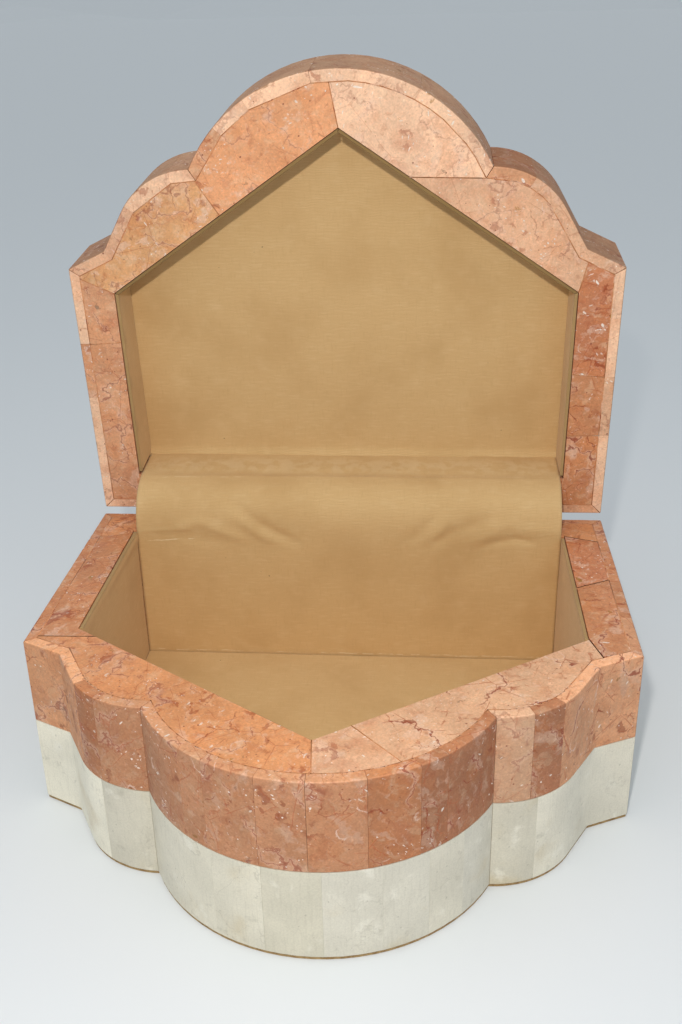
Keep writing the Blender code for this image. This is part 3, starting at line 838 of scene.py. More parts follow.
def joined(parts: Sequence[BMesh]) -> BMesh:
    """Puts several meshes into one and frees them.

    Args:
        parts: The meshes.

    Returns:
        The one mesh.
    """
    whole = bmesh.new()
    for part in parts:
        mesh = bpy.data.meshes.new("part")
        part.to_mesh(mesh)
        whole.from_mesh(mesh)
        part.free()
        bpy.data.meshes.remove(mesh)
    return whole


def add_piece(
    name: str, bm: BMesh, body: Body, material: Material, nodes: Iterable[str]
) -> Object:
    """Makes a piece from a mesh that is drawn shut, and hangs it on its body.

    Args:
        name: Name of the piece.
        bm: Its mesh, which is freed.
        body: The half of the box that it rides on.
        material: Its finish.
        nodes: CAD nodes that it stands for.

    Returns:
        The finished object.
    """
    if body is Body.LID:
        bmesh.ops.transform(bm, matrix=TURN_OPEN, space=Matrix.Translation(-AXIS), verts=bm.verts)
    for face in bm.faces:
        face.smooth = True
    mesh = bpy.data.meshes.new(name)
    bm.to_mesh(mesh)
    bm.free()
    mesh.materials.append(material)
    piece = bpy.data.objects.new(name, mesh)
    bpy.context.scene.collection.objects.link(piece)
    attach(piece, body.value)
    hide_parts(*nodes)
    LOG.info("%s: %d faces", name, len(mesh.polygons))
    return piece


def hold_flats(piece: Object) -> None:
    """Keeps large faces flat in the shading, next to eased edges.

    Args:
        piece: The finished piece.
    """
    weighted = piece.modifiers.new("flat_faces", "WEIGHTED_NORMAL")
    weighted.mode = "FACE_AREA"
    weighted.weight = 50


def add_edge_points(bm: BMesh, edges: Iterable[BMEdge], spacing: float) -> None:
    """Adds points along edges and leaves the faces whole.

    Args:
        bm: The mesh.
        edges: The edges that get points.
        spacing: About how far apart the points are.
    """
    groups: dict[int, list[BMEdge]] = {}
    for edge in edges:
        cuts = round(edge.calc_length() / spacing) - 1
        if cuts > 0:
            groups.setdefault(cuts, []).append(edge)
    for cuts, group in groups.items():
        bmesh.ops.bisect_edges(bm, edges=group, cuts=cuts)


def refine(bm: BMesh, spacing: float) -> None:
    """Cuts a mesh into small triangles.

    Args:
        bm: The mesh.
        spacing: Length that no edge is much longer than.
    """
    bmesh.ops.triangulate(bm, faces=bm.faces[:])
    for _ in range(8):
        long_edges = [edge for edge in bm.edges if edge.calc_length() > spacing * 1.4]
        if not long_edges:
            return
        bmesh.ops.subdivide_edges(bm, edges=long_edges, cuts=1)
        bmesh.ops.triangulate(bm, faces=bm.faces[:])


def is_sharp(edge: BMEdge) -> bool:
    """Whether two faces meet at a clear corner in an edge."""
    return len(edge.link_faces) == 2 and edge.calc_face_angle(0.0) > SHARP_EDGE


class StoneCutter:
    """Cuts runs of stones at their seams and eases the edges of every stone.

    Sizes: the slope of a seam's groove, what counts as one place, what counts as one height, the
    shortest edge that a cut may leave, and how far behind an outer face the wall stones stand.
    """

    GROOVE_EDGE = math.hypot(0.4, 0.6) * MM
    FINE = 0.02 * MM
    SAME_HEIGHT = 0.3 * MM
    SLIVER = 0.3 * MM
    BEHIND = 5 * MM

    def __init__(self, seed: int, edges: Edges, outer: BVHTree | None = None) -> None:
        """Takes the seed of its draws, the edges' sizes, and what tells outer faces from inner ones.

        Args:
            seed: Seed of the random draws.
            edges: Sizes of the eased edges.
            outer: The wall stones behind the staves; None for stones without an exposed outer face.
        """
        self.draw = random.Random(seed)
        self.edges = edges
        self.outer = outer

    def groove_at(self, vertex: BMVert) -> list[BMVert]:
        """Finds the groove whose bottom is at a point.

        Args:
            vertex: The point.

        Returns:
            The groove's two ends, or nothing where there is no groove.
        """
        flat = [e for e in vertex.link_edges if abs(e.verts[0].co.z - e.verts[1].co.z) < self.FINE]
        if len(flat) != 2 or any(abs(e.calc_length() - self.GROOVE_EDGE) > self.FINE for e in flat):
            return []
        return [e.other_vert(vertex) for e in flat]

    def close_grooves(self, bm: BMesh) -> list[tuple[Vector, Vector]]:
        """Fills the grooves that mark the seams of a run.

        Args:
            bm: The run of stones.

        Returns:
            For each seam, its point on the face of the stones and the direction across it.
        """
        top = max(v.co.z for v in bm.verts)
        seams: list[tuple[Vector, Vector]] = []
        targets: dict[BMVert, BMVert] = {}
        for vertex in bm.verts:
            ends = self.groove_at(vertex)
            if not ends:
                continue
            middle = (ends[0].co + ends[1].co) / 2
            if abs(vertex.co.z - top) < self.FINE:
                seams.append((middle.copy(), (ends[1].co - ends[0].co).normalized()))
            vertex.co = middle
            targets.update({end: vertex for end in ends})
        bmesh.ops.weld_verts(bm, targetmap=targets)
        return seams

    def split(self, bm: BMesh, point: Vector, across: Vector) -> list[BMesh]:
        """Cuts a run in two at a seam and leaves a hairline between the halves.

        Args:
            bm: The run, which is freed.
            point: A point of the seam.
            across: Direction across the seam.

        Returns:
            The two halves.
        """
        gap = self.draw.uniform(0.1, 1.0) ** 2 * self.edges.gap * MM
        halves = []
        for side in (-1, 1):
            half = bm.copy()
            cut = {
                "geom": half.verts[:] + half.edges[:] + half.faces[:],
                "dist": MERGE,
                "plane_co": point + across * gap * side,
                "plane_no": across * side,
            }
            bmesh.ops.bisect_plane(half, clear_inner=True, **cut)
            open_edges = [e for e in half.edges if e.is_boundary]
            bmesh.ops.holes_fill(half, edges=open_edges, sides=0)
            bmesh.ops.remove_doubles(half, verts=half.verts, dist=self.SLIVER)
            bmesh.ops.recalc_face_normals(half, faces=half.faces)
            halves.append(half)
        bm.free()
        return halves

    def stones(self, name: str) -> list[BMesh]:
        """Cuts a CAD node at its seams.

        Args:
            name: Name of the node.

        Returns:
            Its single stones.
        """
        run = node_mesh(name)
        pieces = [run]
        for point, across in self.close_grooves(run):
            for i, piece in enumerate(pieces):
                if any((v.co - point).length < self.FINE for v in piece.verts):
                    pieces[i : i + 1] = self.split(piece, point, across)
                    break
        return pieces

    def is_outer(self, face: BMFace) -> bool:
        """Tells the outer faces of the staves.

        Args:
            face: A face of a stone.

        Returns:
            Whether it stands upright and well away from the wall stones.
        """
        if self.outer is None or abs(face.normal.z) > UPRIGHT:
            return False
        *_, distance = self.outer.find_nearest(face.calc_center_median())
        return distance > self.BEHIND

    def exposed(self, bm: BMesh, levels: Sequence[float]) -> list[BMEdge]:
        """Finds the edges where an outer face meets a top or a foot.

        Args:
            bm: The stone.
            levels: Heights of the top and the foot.

        Returns:
            The edges.
        """
        found = []
        for edge in bm.edges:
            middle = (edge.verts[0].co + edge.verts[1].co) / 2
            if not any(abs(middle.z - level) < self.SAME_HEIGHT for level in levels):
                continue
            if is_sharp(edge) and any(self.is_outer(face) for face in edge.link_faces):
                found.append(edge)
        return found

    def ease(self, bm: BMesh, levels: Sequence[float]) -> None:
        """Bevels the edges of a stone and breaks small chips out of them.

        Args:
            bm: The stone.
            levels: Heights of its exposed edges.
        """
        size = self.edges
        seed = Vector([self.draw.uniform(-50, 50) for _ in range(3)])
        add_edge_points(bm, [e for e in bm.edges if is_sharp(e)], size.spacing * MM)
        wide = self.exposed(bm, levels)
        self.bevel(bm, wide, size.exposed, 3, seed)
        rest = [e for e in bm.edges if e.calc_face_angle(0.0) > SQUARE_EDGE]
        self.bevel(bm, rest, size.joint, 2, seed)

    def bevel(
        self, bm: BMesh, edges: list[BMEdge], width_mm: float, segments: int, seed: Vector
    ) -> None:
        """Bevels some edges and moves the new points in by a noise.

        Args:
            bm: The stone.
            edges: The edges.
            width_mm: Width of the bevel on each face.
            segments: How many strips round the edge.
            seed: Shift of the noise, which makes each stone's chips its own.
        """
        if not edges:
            return
        made = bmesh.ops.bevel(
            bm,
            geom=edges,
            offset=width_mm * MM,
            offset_type="OFFSET",
            segments=segments,
            profile=0.5,
            affect="EDGES",
            clamp_overlap=True,
            material=-1,
        )
        strip = set(made["faces"])
        bm.normal_update()
        moves = []
        for vertex in made["verts"]:
            flats = [f for f in vertex.link_faces if f not in strip]
            depth = self.chip_depth(vertex.co + seed, width_mm)
            inward = -vertex.normal * depth
            for face in flats:
                inward -= inward.dot(face.normal) * face.normal
            moves.append((vertex, inward))
        for vertex, inward in moves:
            vertex.co += inward

    def chip_depth(self, place: Vector, width_mm: float) -> float:
        """How far a point of an edge is worn in: a little everywhere, and more in a chip.

        Args:
            place: Where the point is in the noise.
            width_mm: Width of the edge's bevel.

        Returns:
            The depth in metres.
        """
        size = self.edges
        wobble = (noise.noise(place / (size.wave * MM)) + 1) / 2 * size.wobble
        lot = noise.noise(place / (size.chip_length * MM) + Vector((7, 3, 5)))
        chip = max(0.0, lot - 1 + size.chip_share * 2) * size.chip
        return min(wobble + chip, size.deepest) * MM * min(1.0, width_mm / size.exposed)

    def mark(self, bm: BMesh, character: Character, sawn_tint_and_shade: tuple = (1.0, 1.0, 1.0)) -> None:
        """Writes a stone's own pattern place, colour and marks into its mesh.

        Args:
            bm: The stone.
            character: Its ground colour and marks.
            sawn_tint_and_shade: Red, green and blue of its sawn outer face as shares of the honed ones;
                partly painted shade.
        """
        place = bm.verts.layers.float_vector.new("stone_place")
        ground = bm.verts.layers.float_color.new("stone_ground")
        marks = bm.verts.layers.float_vector.new("stone_marks")
        sawn_tint_and_shade_layer = bm.verts.layers.float_vector.new("stone_sawn_tint_and_shade")
        bm.normal_update()
        # Outer faces get their own shares: a sawn face's deeper colour, and painted shade as well.
        sawn = {vertex for face in bm.faces if self.is_outer(face) for vertex in face.verts}
        angle = self.draw.uniform(0, math.tau)
        turn = Matrix.Rotation(angle, 3, Vector([self.draw.gauss(0, 1) for _ in "xyz"]))
        shift = Vector([self.draw.uniform(-3, 3) for _ in "xyz"])
        colour = linear(character.ground)
        shares = Vector((character.veins, character.specks, character.blotches))
        for vertex in bm.verts:
            vertex[sawn_tint_and_shade_layer] = sawn_tint_and_shade if vertex in sawn else (1.0, 1.0, 1.0)
            vertex[place] = turn @ vertex.co + shift
            vertex[ground] = colour
            vertex[marks] = shares


def walls_tree(names: Iterable[str]) -> BVHTree:
    """Makes a search tree of some stones of one half, drawn shut.

    Args:
        names: The stones' CAD nodes.

    Returns:
        The tree.
    """
    walls = joined([node_mesh(name) for name in names])
    tree = BVHTree.FromBMesh(walls)
    walls.free()
    return tree


def nodes_of(start: str) -> list[str]:
    """CAD nodes whose names begin with some words, in order."""
    return sorted(name for name in frame["nodes"] if name.startswith(start))


@dataclass
class StaveBand:
    """One band of upright stones: six runs, each cut into its single stones."""

    prefix: str
    body: Body
    slot: Slot
    material: Material
    walls: BVHTree
    palette: tuple[Character, ...]
    seed: int
    edges: Edges = field(default_factory=Edges)
    top_exposed: bool = True
    foot_exposed: bool = False
    # Shares for the outer faces: a sawn face's deeper colour with painted shade.
    sawn_tint_and_shade: tuple[float, float, float] = (1.0, 1.0, 1.0)
    runs: dict[str, tuple[Character, ...]] = field(default_factory=dict)

    @staticmethod
    def order(stone: BMesh) -> tuple[float, float]:
        """Sorts the stones of a run from left to right, or from front to back."""
        return round(max(v.co.x for v in stone.verts), 3), max(v.co.y for v in stone.verts)

    def build(self) -> list[Object]:
        """Cuts, eases and colours the stones, one piece for each run.

        Returns:
            The six pieces.
        """
        cutter = StoneCutter(self.seed, self.edges, self.walls)
        pieces = []
        for name in nodes_of(self.prefix):
            stones = sorted(cutter.stones(name), key=self.order)
            known = self.runs.get(name.removeprefix(f"{self.prefix}_"), ())
            for i, stone in enumerate(stones):
                heights = [v.co.z for v in stone.verts]
                levels = [max(heights)] * self.top_exposed + [min(heights)] * self.foot_exposed
                cutter.ease(stone, levels)
                drawn = cutter.draw.choice(self.palette)
                cutter.mark(stone, known[i] if i < len(known) else drawn, self.sawn_tint_and_shade)
            whole = joined(stones)
            piece = add_piece(f"{name}_stones", whole, self.body, self.material, [name])
            hold_flats(piece)
            pieces.append(piece)
        return pieces


@dataclass
class SingleStones:
    """Stones that are one CAD node each, such as wall stones and the lid's top stones."""

    prefix: str
    body: Body
    slot: Slot
    material: Material
    characters: dict[str, Character]
    other: Character
    seed: int
    edges: Edges = field(default_factory=Edges)

    def build(self) -> list[Object]:
        """Eases and colours each stone.

        Returns:
            One piece for each stone.
        """
        cutter = StoneCutter(self.seed, self.edges)
        pieces = []
        for name in nodes_of(self.prefix):
            stone = node_mesh(name)
            cutter.ease(stone, ())
            cutter.mark(stone, self.characters.get(name, self.other))
            piece = add_piece(f"{name}_stone", stone, self.body, self.material, [name])
            hold_flats(piece)
            pieces.append(piece)
        return pieces


@dataclass
class JointFill:
    """Stained resin in the joints of one level face of a half, almost flush with the stones."""

    name: str
    body: Body
    slot: Slot
    material: Material
    nodes: tuple[str, ...]
    neighbours: BVHTree
    upward: bool = True
    character: Character = Character("#D08C5C", 0.0, 0.0, 1.0)
    gap_mm: float = 0.3
    width_mm: float = 0.62
    depth_mm: float = 1.2
    sunk_mm: float = 0.02

    def build(self) -> Object:
        """Lays a bar along each edge that faces another stone.

        Returns:
            The finished filling.
        """
        bm = bmesh.new()
        done: set[tuple[float, ...]] = set()
        for name in self.nodes:
            stone = node_mesh(name)
            heights = [vertex.co.z for vertex in stone.verts]
            level = max(heights) if self.upward else min(heights)
            for edge in stone.edges:
                if all(abs(vertex.co.z - level) < StoneCutter.FINE for vertex in edge.verts):
                    self.fill(bm, edge, done)
            stone.free()
        StoneCutter(3, Edges()).mark(bm, self.character)
        return add_piece(self.name, bm, self.body, self.material, [])

    def fill(self, bm: BMesh, edge: BMEdge, done: set[tuple[float, ...]]) -> None:
        """Adds the bar beside one edge, unless its joint is filled or no stone stands across it.

        Args:
            bm: The filling so far.
            edge: An edge of a stone's level face.
            done: Middles of the joints that are filled.
        """
        sides = [face.normal for face in edge.link_faces if abs(face.normal.z) < UPRIGHT]
        if not sides:
            return
        start, end = (vertex.co for vertex in edge.verts)
        inwards = -1 if self.upward else 1
        middle = (start + end) / 2 + sides[0] * self.gap_mm / 2 * MM
        probe = middle + Vector((0, 0, inwards * 2 * MM))
        across = self.neighbours.ray_cast(probe, sides[0], self.gap_mm * MM)[0]
        key = tuple(round(value / (0.2 * MM)) for value in middle)
        if across is None or key in done:
            return
        done.add(key)
        along = end - start
        deep = self.sunk_mm + self.depth_mm / 2
        place = Matrix.Translation(middle + Vector((0, 0, inwards * deep * MM)))
        turn = Matrix.Rotation(math.atan2(along.y, along.x), 4, "Z")
        sizes = (along.length + self.gap_mm * MM, self.width_mm * MM, self.depth_mm * MM, 1.0)
        bmesh.ops.create_cube(bm, size=1.0, matrix=place @ turn @ Matrix.Diagonal(sizes))


def map_cloth(bm: BMesh) -> None:
    """Lays the weave on a board: ribs level on upright faces and along X on flat ones.

    Args:
        bm: The board.
    """
    layer = bm.loops.layers.uv.new("cloth")
    for face in bm.faces:
        normal = face.normal
        if abs(normal.z) > 0.6:
            across, along = Vector((1, 0, 0)), Vector((0, 1, 0))
        else:
            across = Vector((-normal.y, normal.x, 0)).normalized()
            along = Vector((0, 0, 1))
        for loop in face.loops:
            loop[layer].uv = (loop.vert.co.dot(across), loop.vert.co.dot(along))


@dataclass(frozen=True)
class Roll:
    """A soft roll of the cloth along one edge of a board, in millimetres.

    Fields: the board, the way to its edge, the way its face looks, how far the roll stands out, how far
    its crest is from the edge, its width, and how much of its height it has lost at the front end.
    """

    board: str
    edge: tuple[float, float, float]
    facing: tuple[float, float, float]
    height: float
    crest: float
    width: float
    loss: float = 0.0

    def bend(self, bm: BMesh) -> None:
        """Moves the points of the board's face out along the roll.

        Args:
            bm: The board.
        """
        towards, facing = Vector(self.edge), Vector(self.facing)
        limit = max(vertex.co.dot(towards) for vertex in bm.verts)
        front, back = (pick(vertex.co.y for vertex in bm.verts) for pick in (min, max))
        for vertex in bm.verts:
            if vertex.normal.dot(facing) < 0.5:
                continue
            inside = (limit - vertex.co.dot(towards)) / MM
            height = self.height * (1 - self.loss * (back - vertex.co.y) / (back - front))
            height *= 0.85 + 0.3 * noise.noise(vertex.co / (14 * MM))
            vertex.co += facing * height * math.exp(-(((inside - self.crest) / self.width) ** 2)) * MM


@dataclass
class LiningBoards:
    """Card boards covered in cloth, on the floor, the ceiling and the sides of a cavity.

    Sizes: the boards' rounded edges, the spacing of a board's points, which is closer on the rolled
    one, and the height and length of the cloth's waves. Darkening: how much there is at the mouth of
    the cavity, dirt with painted shade, the boards darkened all over with painted shade, how much, and
    how deep that reaches.
    """

    prefix: str
    body: Body
    material: Material
    edge_mm: float = 0.45
    grid_mm: float = 6.0
    roll_grid_mm: float = 1.6
    wave_mm: float = 0.22
    wave_span_mm: float = 26.0
    roll: Roll | None = None
    mouth_soil_and_shade: float = 0.8
    painted_shade_boards: tuple[str, ...] = ()
    brown_tint: float = 1.1
    painted_shade_mm: float = 200.0

    def build(self) -> list[Object]:
        """Rounds the boards' edges and lets the cloth on them wave a little.

        Returns:
            One piece for each board.
        """
        pieces = []
        for name in nodes_of(self.prefix):
            bm = node_mesh(name)
            made = bmesh.ops.bevel(
                bm,
                geom=bm.edges[:],
                offset=self.edge_mm * MM,
                offset_type="OFFSET",
                segments=3,
                profile=0.5,
                affect="EDGES",
                clamp_overlap=True,
                material=-1,
            )
            rounded = {vertex.co.to_tuple(7) for face in made["faces"] for vertex in face.verts}
            rolled = self.roll is not None and self.roll.board == name
            refine(bm, (self.roll_grid_mm if rolled else self.grid_mm) * MM)
            bm.normal_update()
            for vertex in bm.verts:
                if vertex.co.to_tuple(7) not in rounded:
                    lift = noise.noise(vertex.co / (self.wave_span_mm * MM)) * self.wave_mm * MM
                    vertex.co += vertex.normal * lift
            if rolled:
                self.roll.bend(bm)
            map_cloth(bm)
            # Painted shade on the whole board under the lid's point; dirt and painted shade at others'
            # mouths.
            if name in self.painted_shade_boards:
                self.soil_and_shade(bm, self.brown_tint, self.painted_shade_mm)
            elif not name.endswith(("_floor", "_ceiling")):
                self.soil_and_shade(bm, self.mouth_soil_and_shade, 2 * self.edge_mm)
            piece = add_piece(f"{name}_board", bm, self.body, self.material, [name])
            hold_flats(piece)
            pieces.append(piece)
        return pieces

    def soil_and_shade(self, bm: BMesh, amount: float, reach: float) -> None:
        """Darkens the cloth from the mouth of the cavity inwards: dirt from hands, and painted shade.

        Args:
            bm: The board.
            amount: How dark the cloth is at the mouth.
            reach: How deep the darkening goes, in millimetres.
        """
        layer = bm.verts.layers.float.new("cloth_soil_and_shade")
        mouth = 1 if self.body is Body.BASE else -1
        level = max(vertex.co.z * mouth for vertex in bm.verts)
        for vertex in bm.verts:
            depth = (level - vertex.co.z * mouth) / MM
            vertex[layer] = amount * max(0.0, 1 - depth / reach)


@dataclass(frozen=True)
class Fold:
    """A soft ridge or valley in the cloth, from one point to another."""

    start: tuple[float, float]
    end: tuple[float, float]
    width: float
    height: float


@dataclass
class HingeCloth:
    """One cloth up the back of the base, over the joint and along the back of the lid.

    Places on it are in millimetres: across from the middle, and along from the joint's lower side.
    It is flat where it is glued: from some way below the joint downwards, and at its end on the lid.
    """

    material: Material
    thickness_mm: float = 0.5
    bulge_mm: float = 1.6
    glued_below_mm: float = 14.0
    freed_over_mm: float = 12.0
    glued_end_mm: float = 8.0
    left_mm: float = 123.9
    right_mm: float = 124.0
    columns: int = 170
    rows: int = 140
    folds: tuple[Fold, ...] = (
        Fold((-68, 18), (-49, 4.5), 3.4, -1.3),
        Fold((-49, 4.5), (-29, -7), 3.4, -1.4),
        Fold((-64, 10), (-49, -2), 3.4, 1.0),
        Fold((-49, -2), (-41, -7), 3.2, 0.8),
        Fold((-100, 3), (-86, 6), 3.0, 0.8),
        Fold((-86, 6), (-61, -5), 3.2, 0.9),
        Fold((-98, -4), (-72, -8), 4.0, -0.7),
        Fold((-120, 0), (-92, 2), 0.9, 0.5),
        Fold((57, 17), (39, -3), 3.8, -0.9),
        Fold((59, 8), (49, -4), 3.0, 0.7),
        Fold((86, 12), (62, 2), 3.4, -0.8),
        Fold((62, 2), (48, -9), 3.4, -0.9),
        Fold((95, 8), (72, -6), 3.4, 0.8),
        Fold((82, -6), (98, -2), 2.4, -1.0),
        Fold((98, -2), (108, -4), 2.2, -1.1),
        Fold((121, 3), (98, 5), 3.2, 0.6),
        Fold((-116, 36.5), (116, 36.5), 1.6, 0.35),
        Fold((-112, 42), (110, 42), 4.0, -0.5),
        Fold((-10, 33), (60, 30), 6.0, 0.3),
    )

    def __post_init__(self) -> None:
        """Reads the cloth's place from its CAD node."""
        low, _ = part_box("hinge_cloth")
        self.floor = low.z
        self.radius = AXIS.y - low.y
        self.panel = AXIS.z - self.floor
        self.arc = self.radius * OPEN_ANGLE
        ceiling = node_mesh("lid_lining_ceiling")
        self.lid_part = min(vertex.co.z for vertex in ceiling.verts) - AXIS.z
        ceiling.free()
        self.length = self.panel + self.arc + self.lid_part

    def at(self, across: float) -> float:
        """X of a place across the cloth, from -1 at its left edge to 1 at its right one."""
        return (self.right_mm - self.left_mm + across * (self.right_mm + self.left_mm)) / 2 * MM

    def profile(self, along: float, across: float) -> tuple[Vector, Vector]:
        """Point of the smooth cloth and its outward direction.

        Args:
            along: Length from the floor up the cloth.
            across: Place across the cloth, from -1 to 1.

        Returns:
            The point and the unit normal towards the viewer's side.
        """
        x = self.at(across)
        if along <= self.panel:
            return Vector((x, AXIS.y - self.radius, self.floor + along)), Vector((0, -1, 0))
        turn = min((along - self.panel) / self.radius, OPEN_ANGLE)
        normal = Vector((0, -math.cos(turn), math.sin(turn)))
        share = turn / OPEN_ANGLE
        edge = 1 - abs(across) ** 8
        bulge = self.bulge_mm * MM * math.sin(math.pi * share) ** 2 * (0.15 + 0.85 * edge)
        point = Vector((x, AXIS.y, AXIS.z)) + normal * (self.radius + bulge)
        beyond = along - self.panel - self.arc
        if beyond > 0:
            up_lid = Vector((0, math.sin(OPEN_ANGLE), math.cos(OPEN_ANGLE)))
            point += up_lid * beyond
        return point, normal

    def lift(self, across: float, along: float) -> float:
        """Height of the folds and waves at a place, in metres.

        Args:
            across: Metres from the middle.
            along: Metres along the cloth from the joint's lower side.

        Returns:
            How far the cloth stands out there.
        """
        place = Vector((across, along)) / MM
        height = 0.25 * noise.noise(Vector((across * 45, along * 60, 3.0)))
        for fold in self.folds:
            start, end = Vector(fold.start), Vector(fold.end)
            way = end - start
            share = min(1.0, max(0.0, (place - start).dot(way) / way.length_squared))
            away = (place - start - way * share).length / fold.width
            height += fold.height * math.exp(-away * away) * (0.55 + 0.45 * math.sin(math.pi * share))
        return height * MM

    def build(self) -> Object:
        """Bends a grid into the cloth and thickens it.

        Returns:
            The finished cloth.
        """
        bm = bmesh.new()
        grid = {"x_segments": self.columns, "y_segments": self.rows}
        bmesh.ops.create_grid(bm, size=1.0, calc_uvs=False, **grid)
        layer = bm.loops.layers.uv.new("cloth")
        for face in bm.faces:
            for loop in face.loops:
                flat = loop.vert.co
                loop[layer].uv = (self.at(flat.x), (flat.y + 1) / 2 * self.length - self.panel)
        for vertex in bm.verts:
            across, along = vertex.co.x, (vertex.co.y + 1) / 2 * self.length
            point, normal = self.profile(along, across)
            free = along - self.panel
            fade = min(1.0, max(0.0, (free + self.glued_below_mm * MM) / (self.freed_over_mm * MM)))
            fade *= min(1.0, (self.length - along) / (self.glued_end_mm * MM))
            vertex.co = point + normal * self.lift(self.at(across), free) * fade
        bmesh.ops.recalc_face_normals(bm, faces=bm.faces)
        if sum(face.normal.y for face in bm.faces) > 0:
            bmesh.ops.reverse_faces(bm, faces=bm.faces)
        bmesh.ops.solidify(bm, geom=bm.faces[:], thickness=self.thickness_mm * MM)
        cloth = self.finish(bm)
        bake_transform(cloth)
        return cloth

    def finish(self, bm: BMesh) -> Object:
        """Args:
            bm: The cloth's mesh, which is freed.

        Returns:
            The cloth.
        """
        for face in bm.faces:
            face.smooth = True
        mesh = bpy.data.meshes.new("hinge_cloth_sheet")
        bm.to_mesh(mesh)
        bm.free()
        mesh.materials.append(self.material)
        cloth = bpy.data.objects.new("hinge_cloth_sheet", mesh)
        bpy.context.scene.collection.objects.link(cloth)
        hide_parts("hinge_cloth")
        LOG.info("hinge_cloth_sheet: %d faces", len(mesh.polygons))
        return cloth


@dataclass
class FootBoard:
    """The bottom board, whose thin lip shows as a brown line under the stones."""

    material: Material
    edge_mm: float = 0.15

    def build(self) -> Object:
        """Breaks the board's edges.

        Returns:
            The finished board.
        """
        cutter = StoneCutter(5, Edges(exposed=0.3, joint=self.edge_mm, spacing=3.0, chip=0.4))
        bm = node_mesh("bottom_board")
        cutter.ease(bm, ())
        nodes = ["bottom_board"]
        piece = add_piece("bottom_board_sheet", bm, Body.BASE, self.material, nodes)
        hold_flats(piece)
        return piece


@dataclass
class Hinges:
    """The two brass hinges: leaves with rolled knuckles, and their pins."""

    material: Material
    edge_mm: float = 0.18
    corner_deg: float = 60.0

    def build(self) -> list[Object]:
        """Breaks the edges of each part.

        Returns:
            One piece for each leaf and pin.
        """
        pieces = []
        for name in nodes_of("hinge_"):
            if name == "hinge_cloth":
                continue
            body = Body.LID if name.endswith("_lid_leaf") else Body.BASE
            bm = node_mesh(name)
            sharp = math.radians(self.corner_deg)
            corners = [e for e in bm.edges if e.calc_face_angle(0.0) > sharp]
            bmesh.ops.bevel(
                bm,
                geom=corners,
                offset=self.edge_mm * MM,
                offset_type="OFFSET",
                segments=2,
                profile=0.5,
                affect="EDGES",
                clamp_overlap=True,
                material=-1,
            )
            piece = add_piece(f"{name}_brass", bm, body, self.material, [name])
            hold_flats(piece)
            pieces.append(piece)
        return pieces


@dataclass(frozen=True)
class SoftBox:
    """A square lamp with a white cloth front.

    Fields: its name, where it stands, the point that it faces, its side, its power and its light.
    """

    name: str
    place: tuple[float, float, float]
    aim: tuple[float, float, float]
    side: float
    watts: float
    colour: str = "#FFFFFF"

    def build(self) -> None:
        """Sets the lamp up."""
        light = bpy.data.lights.new(self.name, "AREA")
        light.size = self.side
        light.energy = self.watts
        light.color = linear(self.colour)[:3]
        lamp = bpy.data.objects.new(self.name, light)
        lamp.location = self.place
        way = Vector(self.aim) - Vector(self.place)
        lamp.rotation_euler = way.to_track_quat("-Z", "Y").to_euler()
        bpy.context.scene.collection.objects.link(lamp)


